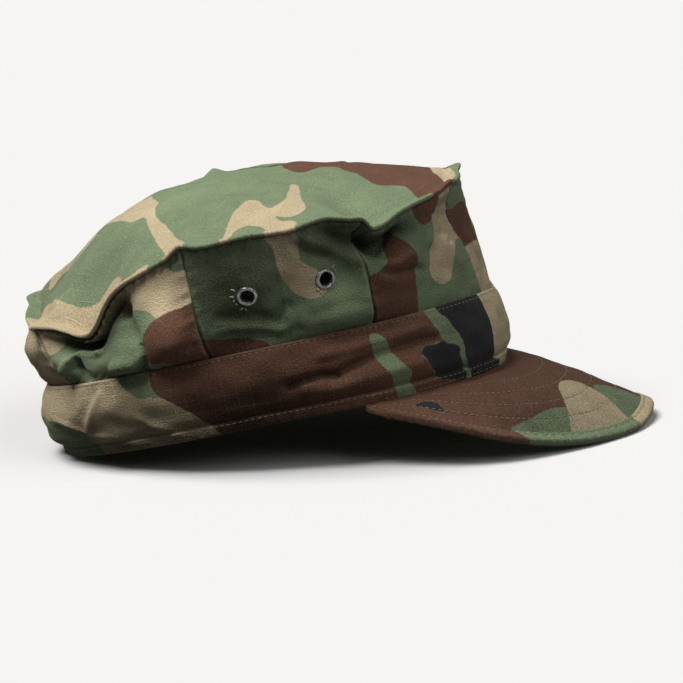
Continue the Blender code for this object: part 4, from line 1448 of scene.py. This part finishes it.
def make_top():
    """The domed top, rolled over the crown's edge as a lip."""
    _, line, up, across, _ = lip_frame()
    grid = top_surface(TOP_DENSITY, TOP_RINGS)
    forward, side, cloth = on_top(grid)
    round_run = arc(grid[:, -1:])
    from_edge = np.linalg.norm(grid - grid[:, -1:], axis=-1)
    push = TOP_WAVES * rippled(cloth) * grown(from_edge, TOP_WAVE_HOLD)
    push = push + creased("top_panel", forward, side) * grown(from_edge, TOP_CREASE_HOLD)
    push = push + puckered("top", round_run, from_edge) * grown(from_edge, TOP_GATHER_HOLD)
    grid[..., 2] += push - LIP_GROOVE * bell(from_edge - LIP_GROOVE_IN, LIP_GROOVE_ROUND)
    lip = laid_off(line, LIP_SECTION, across=across, up=up)
    lip = lip + across[:, None] * puckered("lip", round_run)[..., None]
    rolled = chaikin(np.concatenate([grid[:, -2:], lip], axis=1), 2)
    points = closed(np.concatenate([grid[:, :-2], rolled], axis=1))
    forward, side, cloth = on_top(points)
    fields = print_and_painted_shading("top_panel", forward, side)
    ridge = np.arange(points.shape[1]) - (points.shape[1] - LIP_RIDGE)
    fields["worn"] = bell(ridge, LIP_WEAR)[None, :] + 0 * forward
    mesh = woven("top_cloth", points, turned(cloth, TOP_GRAIN), fields, CROWN_BELOW)
    close_ring(mesh)
    thicken(keep(mesh, ["top_panel"]), TOP_CLOTH)


def close_ring(mesh):
    """Joins a polar grid's first and last columns, and fills its middle."""
    centre = Vector(laid(np.array(CROWN_MIDDLE)))
    with shaping(mesh) as shape:
        bmesh.ops.remove_doubles(shape, verts=shape.verts[:], dist=WELD)
        rim_edges = [edge for edge in shape.edges if edge.is_boundary]
        inner = [edge for edge in rim_edges if (edge.verts[0].co - centre).length < 10 * MM]
        filled = bmesh.ops.holes_fill(shape, edges=inner, sides=0)
        bmesh.ops.poke(shape, faces=filled["faces"])


WELT_POCKETS = (1.92, 3.50, 3.72)
POCKET_SPREAD = 0.22
POCKET_SINK = 0.3 * MM
SECTION_CLOTH = 14 * MM

# Section of the welt, from under the lip down over its stitches and up behind the sides: millimetres
# up, down, across and inwards from the edge's line.
WELT_SECTION = table(
    "up down across inwards",
    (0.8, 0, 0.10, 0),
    (0.3, 0, 0.20, 0),
    (0, 0.3, 0.20, 0),
    (0, 0.75, 0.25, 0),
    (0, 1.15, 0.26, 0),
    (0, 1.30, 0.05, 0),
    (0, 1.1, 0, 0.9),
    (0, 0.4, 0, 1.5),
    (0.4, 0, 0, 1.2),
)


def make_welt():
    """The felled strip under the lip, where the sides are sewn to the top."""
    places, line, up, across, down = lip_frame()
    inwards = -outward(foot_angle(places))
    section = laid_off(line, WELT_SECTION, up=up, down=down, across=across, inwards=inwards)
    run = arc(line[:, None])
    section = section + (across * puckered("welt", run))[:, None]
    pocket = np.clip(sum(bell(round_distance(places, at), POCKET_SPREAD) for at in WELT_POCKETS), 0, 1)
    section = section + inwards[:, None] * (pocket * POCKET_SINK)[:, None, None]
    ring = closed(chaikin(closed(section, axis=1), 2))
    along = np.append(places, len(PANELS))
    panel_of = np.minimum(along.astype(int), len(PANELS) - 1)
    profile = np.linspace(0, 1, ring.shape[1])
    fields = {ink: np.empty(ring.shape[:2]) for ink in INKS}
    for index, name in enumerate(PANEL_NAMES):
        u = (along[panel_of == index] - index)[:, None] + 0 * profile[None]
        for ink, values in charted_print(name, u, 1 + 0 * u).items():
            fields[ink][panel_of == index] = values
    # Painted shade: the welt's cloth is darker all along the lip's underside, and much darker in the
    # pockets.
    fields["tone"] = -0.12 - 0.6 * closed(pocket)[:, None] + 0 * ring[..., 0]
    fields["worn"] = 0.15 * bell(profile[None] - 0.42, 0.08) + 0 * ring[..., 0]
    run = np.append(run[:, 0], run[-1, 0] + run[1, 0])[:, None] + 0 * profile[None]
    cloth = np.stack([run, profile[None] * SECTION_CLOTH + 0 * run], axis=-1)
    keep(woven("crown_welt_cloth", ring, cloth, fields), ["crown_welt"], "face")
    return section


BAND_STEP = 1.0 * MM
STITCH_SINK = 0.22 * MM
HEM_GROOVE = 0.8 * MM
HEM_GROOVE_UP = 0.9 * MM
HEM_PUFF = 0.7 * MM
HEM_PUFF_UP = 4.5 * MM
HEM_PUFF_ROUND = 2.4 * MM
BAND_HOLD = 0.12
LINING_UP = 0.2 * MM
STITCH_ROUND = 0.8 * MM
BAND_TOP_STITCH = 1.3 * MM
HEM_STITCHES = (1.5 * MM, 4.0 * MM)
PEAK_JOIN = 62.5
BAND_GIRTH = 575 * MM
BAND_SLIT = 0.02


def band_profile():
    """Heights and insets of the band's outer face, and heights of its inner face."""
    outer = np.concatenate(
        [
            np.array([0.0, 0.25, 0.6, 1.0]) * MM,
            np.arange(1.5, 4.1, 0.5) * MM,
            np.array([4.3, 4.5, 4.7, 4.95, 5.25, 5.6]) * MM,
            np.arange(6.2, 29.8, 0.95) * MM,
            np.arange(30.0, 32.0, 0.45) * MM,
            np.array([32.2, 32.5, 32.75, 32.93, 33.0]) * MM,
        ]
    )
    inset = -HEM_STEP * np.clip((HEM_HEIGHT + 0.35 * MM - outer) / (0.5 * MM), 0, 1)
    inset = inset + 0.9 * MM * np.clip(1 - outer / (0.9 * MM), 0, 1) ** 2
    inset = inset + 0.4 * MM * np.clip(1 - (BAND_HEIGHT - outer) / (0.7 * MM), 0, 1) ** 2
    inner = np.linspace(BAND_HEIGHT, 0, 30)
    return outer, inset, inner


# Broad folds of the band: at and wide in degrees, up and tall in shares of its height, depth in mm.
BAND_FOLDS = table(
    "at up wide tall depth",
    (-92, 0.66, 24, 0.30, 0.8),
    (-95, 0.22, 28, 0.26, -1.0),
    (-120, 0.46, 7, 0.26, -0.2),
    (-150, 0.62, 14, 0.20, 0.9),
    (70, 0.60, 26, 0.24, 1.2),
    (118, 0.30, 18, 0.22, -1.2),
)


def band_folds(around, height):
    """How far the band's wall moves out at each angle and height, with its place on the cloth."""
    degrees, share = np.degrees(around), height / BAND_HEIGHT
    cloth = CHARTS["band"](degrees, share) * MM
    held = np.clip(np.minimum(share, 1 - share) / BAND_HOLD, 0, 1)
    push = creased("band", degrees, share) + rippled(cloth + 0.7, 1.3)
    for fold in BAND_FOLDS:
        swell = bell(degrees - fold["at"], fold["wide"]) * bell(share - fold["up"], fold["tall"])
        push = push + fold["depth"] * MM * swell
    return push * held, cloth, degrees, share


def band_face(angle, outer, inset):
    """The band's outer face with its folds, waves and sewn lines."""
    around, height = np.meshgrid(angle, outer, indexing="ij")
    grid = rim(around, height, 0 * around + inset[None])
    push, cloth, degrees, share = band_folds(around, height)
    push = push + puckered("band_top", cloth[..., 0], BAND_HEIGHT - height)
    push = push + puckered("hem", cloth[..., 0], height)
    for line in (BAND_HEIGHT - BAND_TOP_STITCH, HEM_STITCHES[1]):
        push = push - STITCH_SINK * bell(height - line, STITCH_ROUND)
    push = push - HEM_GROOVE * bell(height - HEM_HEIGHT - HEM_GROOVE_UP, HEM_GROOVE_UP)
    push = push + HEM_PUFF * bell(height - HEM_HEIGHT - HEM_PUFF_UP, HEM_PUFF_ROUND)
    beside_peak = 1 / (1 + np.exp((np.abs(degrees) - PEAK_JOIN) / 1.5))
    push = push - STITCH_SINK * bell(height - HEM_STITCHES[0], STITCH_ROUND) * beside_peak
    return grid + outward(around) * push[..., None], cloth, degrees, share


def make_band():
    """The band, one strip sewn end to end behind the left ear."""
    outer, inset, inner = band_profile()
    ends = BAND_JOIN - BAND_SLIT, BAND_JOIN - 360 + BAND_SLIT
    angle = np.radians(np.linspace(*ends, int(BAND_GIRTH / BAND_STEP) + 1))
    face, cloth, degrees, share = band_face(angle, outer, inset)
    around, height = np.meshgrid(angle, inner, indexing="ij")
    back = rim(around, height, BAND_WALL + 0 * around)
    back = back + outward(around) * band_folds(around, height)[0][..., None]
    back[..., 2] = np.clip(back[..., 2], face[:, :1, 2] + LINING_UP, None)
    points = np.concatenate([face, back, face[:, :1]], axis=1)
    fields = print_and_painted_shading("band", degrees, share)
    inner_cloth = np.stack([cloth[:, :1, 0] + 0 * height, -height - 5 * MM], axis=-1)
    lining = repeated_print(inner_cloth, 12, (40, 20))
    made = {name: closed(np.concatenate([fields[name], lining[name]], axis=1), 1) for name in fields}
    hem = 0.5 * bell(outer - HEM_HEIGHT, 0.5 * MM) + 0.6 * bell(outer, 0.6 * MM)
    top = 0.5 * bell(outer - BAND_HEIGHT + 0.3 * MM, 0.5 * MM)
    made["worn"] = closed(np.concatenate([hem + top, 0 * inner]))
    spread = closed(turned(np.concatenate([cloth, inner_cloth], axis=1), 4), 1)
    keep(woven("band_cloth", points, spread, made), ["band"], "face")


PEAK_TUCK_UP = 1.1 * MM
PEAK_TUCK_IN = 1.3 * MM
PEAK_ACROSS = np.linspace(-1, 1, 401)
PEAK_ROWS = np.linspace(0, 1, 72)
QUILT_SINK = 0.30 * MM
QUILT_ROUND = 0.7 * MM
SEWN_ROWS = 4


def quilted_peak(across, shares):
    """The peak's upper face, drawn in along its rows of stitches."""
    run, width, normal = peak_surface(across, shares)
    from_edge = (1 - shares)[None, :] * width[:, None]
    sink = 0 * from_edge
    for row in range(SEWN_ROWS):
        distance = SEWING_START + SEWING_PITCH * row
        deep = np.clip((width[:, None] - distance) / MM, 0, 3) / 3
        sink = sink + QUILT_SINK * bell(from_edge - distance, QUILT_ROUND) * deep
    u, v = np.meshgrid(across, shares, indexing="ij")
    cloth = CHARTS["peak"](u, v) * MM
    lift = rippled(cloth + 0.2, 0.5) * np.clip(from_edge / (8 * MM), 0, 1)
    return run + normal[:, None] * (lift - sink)[..., None], normal, cloth, (u, v)


def make_peak():
    """The stiff peak, quilted in rows, with its own cloth below."""
    upper, normal, cloth, (u, v) = quilted_peak(PEAK_ACROSS, PEAK_ROWS)
    lower = 2 * peak_surface(PEAK_ACROSS, PEAK_ROWS)[0] - upper - normal[:, None] * PEAK_THICKNESS
    base = np.radians(smooth_rows("base", PEAK_ACROSS))
    tuck = rim(base, PEAK_TUCK_UP + 0 * base, PEAK_TUCK_IN + 0 * base)[:, None]
    lower[:, :1] = tuck - [0, 0, PEAK_THICKNESS * 0.6]
    upper[:, :1] += [0, 0, PEAK_TUCK_UP * 0.5]
    points = np.concatenate([tuck, upper, lower[:, ::-1], lower[:, :1], tuck], axis=1)
    fields = charted_print("peak", u, v)
    under = repeated_print(cloth, 25, (60, 90))
    made = {}
    for ink in INKS:
        first, last = fields[ink][:, :1], under[ink][:, :1]
        made[ink] = np.concatenate([first, fields[ink], under[ink][:, ::-1], last, first], axis=1)
    tone = painted_shading_and_tone("peak", u, v)
    made["tone"] = np.concatenate([tone[:, :1], tone, 0 * tone, tone[:, :1], tone[:, :1]], axis=1)
    made["worn"] = np.zeros(points.shape[:2])
    below = cloth[:, ::-1] + [0.5, 0.3]
    spread = np.concatenate([cloth[:, :1], cloth, below, below[:, -1:], cloth[:, :1]], axis=1)
    keep(woven("peak_cloth", points, turned(spread, 45), made), ["peak"], "face")


# Section of the binding over the peak's edge: out beyond the edge and up from the middle of the
# peak's thickness, both in millimetres.
BINDING_SECTION = table(
    "out up",
    (-5.5, 1.30),
    (-5.3, 1.75),
    (-4.4, 1.80),
    (-3.8, 1.55),
    (-3.0, 1.80),
    (-0.2, 1.95),
    (0.75, 1.30),
    (0.95, 0.0),
    (0.75, -1.30),
    (-0.2, -1.95),
    (-3.0, -1.80),
    (-3.8, -1.55),
    (-4.4, -1.80),
    (-5.3, -1.75),
    (-5.5, -1.30),
)


def binding_frame(across):
    """The peak's edge, the middle of its thickness there, and the ways out and up from it."""
    rows, _, normal = peak_surface(across, np.array([0.9, 1.0]))
    edge = rows[:, 1]
    return edge, edge - normal * PEAK_THICKNESS / 2, unit(edge - rows[:, 0]), normal


BINDING_EASE = 0.06
BINDING_WALL = 0.5 * MM
BINDING_HOLLOW = 0.86


def make_binding():
    """The strip folded over the peak's edge and sewn through."""
    across = PEAK_ACROSS[3:-3]
    edge, middle, out, up = binding_frame(across)
    run = arc(edge[:, None])
    section = laid_off(middle, BINDING_SECTION, out=out, up=up)
    side = np.sign(column(BINDING_SECTION, "up"))[None, :, None]
    section = section + (up * puckered("binding", run))[:, None] * side
    ease = np.clip((1 - np.abs(across)) / BINDING_EASE, 0.3, 1)
    section = middle[:, None] + (section - middle[:, None]) * ease[:, None, None]
    hollow = section[:, ::-1] - out[:, None] * BINDING_WALL
    hollow = middle[:, None] + (hollow - middle[:, None]) * BINDING_HOLLOW
    ring = chaikin(closed(np.concatenate([section, hollow], axis=1), 1), 1)
    profile = np.linspace(0, 2, ring.shape[1])[None] + 0 * ring[..., 0]
    fields = print_and_painted_shading("peak_binding", across[:, None] + 0 * profile, np.clip(profile, 0, 1))
    fields["worn"] = 0.55 * bell(profile - 0.48, 0.10)
    cloth = turned(np.stack([run + 0 * profile, profile * SECTION_CLOTH], axis=-1), 45)
    keep(woven("peak_binding_cloth", ring, cloth, fields), ["peak_binding"], "face")


STITCH_PITCH = 2.7 * MM
STITCH_LENGTH = 2.1 * MM
THREAD_WIDTH = 0.42 * MM
THREAD_HEIGHT = 0.34 * MM
BAND_THREAD_LIFT = 0.02 * MM
CROWN_THREAD_LIFT = 0.04 * MM
PEAK_THREAD_LIFT = -0.10 * MM
SEWING_END = 2.5 * MM
BINDING_SEAM_IN = 3.8 * MM
BINDING_SEAM_UP = 1.62 * MM


def sew(shape, route, normals, lift=0.0):
    """Adds a row of stitches along a route in the resting pose."""
    run = arc(route[:, None])[:, 0]
    starts = np.arange(STITCH_PITCH / 2, run[-1] - STITCH_LENGTH, STITCH_PITCH)

    def at(values, lengths):
        return np.stack([np.interp(lengths, run, values[:, axis]) for axis in range(3)], axis=-1)

    heads, tails = at(route, starts), at(route, starts + STITCH_LENGTH)
    ups = unit(at(normals, starts + STITCH_LENGTH / 2))
    for head, tail, up in zip(heads, tails, ups):
        along = unit(tail - head)
        side = unit(np.cross(up, along))
        up = np.cross(along, side)
        place = (head + tail) / 2 + up * lift
        seat = seated(along * STITCH_LENGTH, side * THREAD_WIDTH, up * THREAD_HEIGHT, place)
        bmesh.ops.create_icosphere(shape, subdivisions=1, radius=0.5, matrix=seat)


def keep_sewing(name, shape, finish="thread"):
    """Turns a bmesh of stitches into a piece."""
    mesh = bpy.data.meshes.new(name)
    shape.to_mesh(mesh)
    shape.free()
    mesh.shade_smooth()
    keep(mesh, finish=finish)


def grid_route(points, row):
    """A row of a grid of points as a route in the resting pose, with the grid's normals."""
    rest = laid(points)
    return rest[:, row], facing(rest)[:, row]


def outward_normals(normals, route, centre):
    """Normals turned away from a centre."""
    away = route - laid(np.array(centre, float))
    return normals * np.sign(np.sum(normals * away, axis=-1, keepdims=True))


# Rows of stitches on the band: height, first and last angle in degrees, and steps of the route.
BAND_STITCHES = table(
    "height first last steps",
    (BAND_HEIGHT - BAND_TOP_STITCH, BAND_JOIN - 1, BAND_JOIN - 359, 900),
    (HEM_STITCHES[1], BAND_JOIN - 1, BAND_JOIN - 359, 900),
    (HEM_STITCHES[0], PEAK_JOIN, -PEAK_JOIN, 400),
)


def sew_band():
    """Stitches along the band's top and hem, doubled where the peak is sewn in."""
    shape = bmesh.new()
    for row in BAND_STITCHES:
        angle = np.radians(np.linspace(row["first"], row["last"], row["steps"]))
        outer = row["height"] + np.array([-0.5, 0, 0.5]) * MM
        face, *_ = band_face(angle, outer, np.full(3, -HEM_STEP * (row["height"] < HEM_HEIGHT)))
        route, normals = grid_route(face, 1)
        sew(shape, route, outward_normals(normals, route, (0, 0, BAND_HEIGHT / 2)), BAND_THREAD_LIFT)
    keep_sewing("band_stitching", shape, "gold_thread")


def sew_crown(welt_section):
    """Stitches under the lip, along the welt's fourth row."""
    shape = bmesh.new()
    route, normals = grid_route(closed(welt_section[:, 2:5]), 1)
    sew(shape, route, outward_normals(normals, route, CROWN_CENTRE), CROWN_THREAD_LIFT)
    keep_sewing("crown_stitching", shape)


def sew_peak():
    """Rows of stitches that follow the peak's edge, and the row through its binding."""
    shape = bmesh.new()
    across = np.linspace(-0.97, 0.97, 500)
    width = peak_surface(across, np.array([0.0]))[1]
    for row in range(SEWN_ROWS):
        from_edge = SEWING_START + SEWING_PITCH * row
        inside = width > from_edge + SEWING_END
        share = np.clip(1 - from_edge / width, 0, 1)
        route = peak_point(across, share)
        normals = np.cross(np.gradient(route, axis=0), peak_point(across, share + 0.01) - route)
        normals = normals * np.sign(normals[:, 2:])
        sew(shape, route[inside], normals[inside], PEAK_THREAD_LIFT)
    _, middle, out, up = binding_frame(np.linspace(-0.985, 0.985, 500))
    for side in (1, -1):
        route = laid(middle - out * BINDING_SEAM_IN + up * BINDING_SEAM_UP * side)
        sew(shape, route, (up * side) @ TIP.T)
    keep_sewing("peak_stitching", shape, "gold_thread")


def peak_point(across, share):
    """Points of the peak's upper face at one share for each station, in the resting pose."""
    ends, width, _ = peak_surface(across, np.array([0.0, 1.0]))
    run = ends[:, 0] * (1 - share[:, None]) + ends[:, 1] * share[:, None]
    run[:, 2] += camber(share, width)
    return laid(run)


EYELET_STEPS = 40
# Half section of an eyelet's ring: radius as a share of half its flange, height in eyelet rolls.
EYELET_SECTION = table(
    "radius height",
    (0.59, -1.6),
    (0.59, -0.4),
    (0.605, 0.25),
    (0.65, 0.72),
    (0.72, 1.00),
    (0.80, 1.04),
    (0.885, 0.80),
    (0.945, 0.40),
    (0.97, 0.00),
    (0.93, -0.20),
    (0.70, -0.15),
    (0.66, -1.6),
)


def make_eyelets():
    """Rolled steel eyelets."""
    for number, place in enumerate(EYELET_PLACES, start=1):
        mesh = bpy.data.meshes.new(f"eyelet_ring_{number}")
        with shaping(mesh) as shape:
            ring = [
                shape.verts.new((row["radius"] * EYELET_FLANGE / 2, 0, row["height"] * EYELET_ROLL))
                for row in EYELET_SECTION
            ]
            edges = [shape.edges.new(pair) for pair in zip(ring, ring[1:] + ring[:1])]
            around = dict(cent=(0, 0, 0), axis=(0, 0, 1), angle=2 * math.pi, steps=EYELET_STEPS)
            bmesh.ops.spin(shape, geom=ring + edges, **around)
            bmesh.ops.remove_doubles(shape, verts=shape.verts[:], dist=WELD)
            bmesh.ops.recalc_face_normals(shape, faces=shape.faces[:])
            bmesh.ops.transform(shape, matrix=eyelet_seat(place), verts=shape.verts[:])
        mesh.shade_smooth()
        keep(mesh, [f"eyelet_{number}"], "metal")


# Claws and tufts round the eyelets: turn in degrees from the panel's way across, out in flange
# radii, length and width in millimetres, lie in degrees as turn is.
CLAWS = tables(
    "turn out length width lie",
    eyelet_1=[
        (-135, 1.30, 2.6, 0.6, -135),
        (-152, 1.14, 1.4, 0.7, 60),
        (42, 1.18, 2.2, 1.1, 110),
        (60, 1.26, 1.4, 0.8, 30),
    ],
    eyelet_2=[
        (-42, 1.40, 2.6, 0.55, 146),
        (-12, 1.36, 2.4, 0.8, 170),
        (8, 1.28, 1.8, 0.9, 60),
        (26, 1.26, 1.5, 0.8, 100),
        (54, 1.36, 2.2, 0.7, 30),
        (70, 1.34, 1.6, 0.6, 110),
    ],
    eyelet_3=[(160, 1.14, 1.6, 0.6, 150), (20, 1.15, 1.4, 0.6, 70)],
    eyelet_4=[(-120, 1.14, 1.6, 0.6, 40), (60, 1.15, 1.5, 0.6, 120)],
)
CLAW_LIFT = 0.35 * MM
CLAW_HEIGHT = 0.6 * MM


def make_claws():
    """Short bright ends of thread and metal pulled up beside the rings."""
    shape = bmesh.new()
    for number, place in enumerate(EYELET_PLACES, start=1):
        seat = eyelet_seat(place)
        for claw in CLAWS[f"eyelet_{number}"]:
            spin = Matrix.Rotation(math.radians(claw["turn"]), 4, "Z")
            shift = Matrix.Translation((claw["out"] * EYELET_FLANGE / 2, 0, CLAW_LIFT))
            lay = Matrix.Rotation(math.radians(claw["lie"] - claw["turn"]), 4, "Z")
            size = Matrix.Diagonal((claw["length"] * MM, claw["width"] * MM, CLAW_HEIGHT, 1))
            matrix = seat @ spin @ shift @ lay @ size
            bmesh.ops.create_icosphere(shape, subdivisions=1, radius=0.5, matrix=matrix)
    keep_sewing("eyelet_frays", shape, "pale_thread")


VIEW_AZIMUTH = 3.70
VIEW_ELEVATION = 9.77
VIEW_ROLL = -4.06
VIEW_DISTANCE = 1.2
VIEW_TARGET = (0.0052, -0.0001, 0.0409)
VIEW_LENS = 144.5
VIEW_SENSOR = 36


def make_camera():
    """Camera at the photograph's angle."""
    azimuth, elevation, roll = (math.radians(a) for a in (VIEW_AZIMUTH, VIEW_ELEVATION, VIEW_ROLL))
    flat = math.cos(elevation)
    back = Vector((math.sin(azimuth) * flat, -math.cos(azimuth) * flat, math.sin(elevation)))
    level = Vector((math.cos(azimuth), math.sin(azimuth), 0))
    upright = back.cross(level)
    right = level * math.cos(roll) + upright * math.sin(roll)
    up = upright * math.cos(roll) - level * math.sin(roll)
    lens = bpy.data.cameras.new("camera")
    lens.lens = VIEW_LENS
    lens.sensor_width = VIEW_SENSOR
    camera = add("camera", lens)
    camera.matrix_world = seated(right, up, back, Vector(VIEW_TARGET) + back * VIEW_DISTANCE)
    bpy.context.scene.camera = camera


# Studio lights, each soft by the angle that it fills: the way that it comes from, and its strength.
LIGHTS = table(
    "name place angle power tint",
    ("overhead", (-0.38, -0.25, 1.0), 36, 4.1, (1.0, 0.985, 0.96)),
    ("near", (0.70, -0.65, 0.75), 45, 1.0, (1.0, 1.0, 1.0)),
)
FLOOR_COLOUR = (0.64, 0.64, 0.64, 1)
FLOOR_SIZE = 12.0
SURROUND = dict(Color=(1.0, 0.99, 0.97, 1), Strength=0.06)


def make_studio():
    """Pale floor, soft lights and a dim even surround."""
    mesh = bpy.data.meshes.new("floor")
    with shaping(mesh) as shape:
        bmesh.ops.create_grid(shape, x_segments=1, y_segments=1, size=FLOOR_SIZE)
    paper = Finish("floor_paper", Roughness=0.95, Specular_IOR_Level=0.0, Base_Color=FLOOR_COLOUR)
    mesh.materials.append(paper.material)
    floor = add("floor", mesh)
    floor.visible_diffuse = False
    for row in LIGHTS:
        light = bpy.data.lights.new(row["name"], "SUN")
        light.angle = math.radians(row["angle"])
        light.energy = row["power"]
        light.color = row["tint"]
        made = add(row["name"], light)
        made.rotation_euler = Vector(row["place"]).to_track_quat("Z", "Y").to_euler()
    world = bpy.data.worlds.new("surround")
    world.use_nodes = True
    for name, value in SURROUND.items():
        world.node_tree.nodes["Background"].inputs[name].default_value = value
    bpy.context.scene.world = world
    bpy.context.scene.view_settings.view_transform = "Standard"


make_camera()
make_studio()
for panel_index in range(len(PANELS)):
    make_side_panel(panel_index)
make_tapes()
make_top()
felled = make_welt()
make_band()
make_peak()
make_binding()
make_eyelets()
make_claws()
sew_band()
sew_crown(felled)
sew_peak()
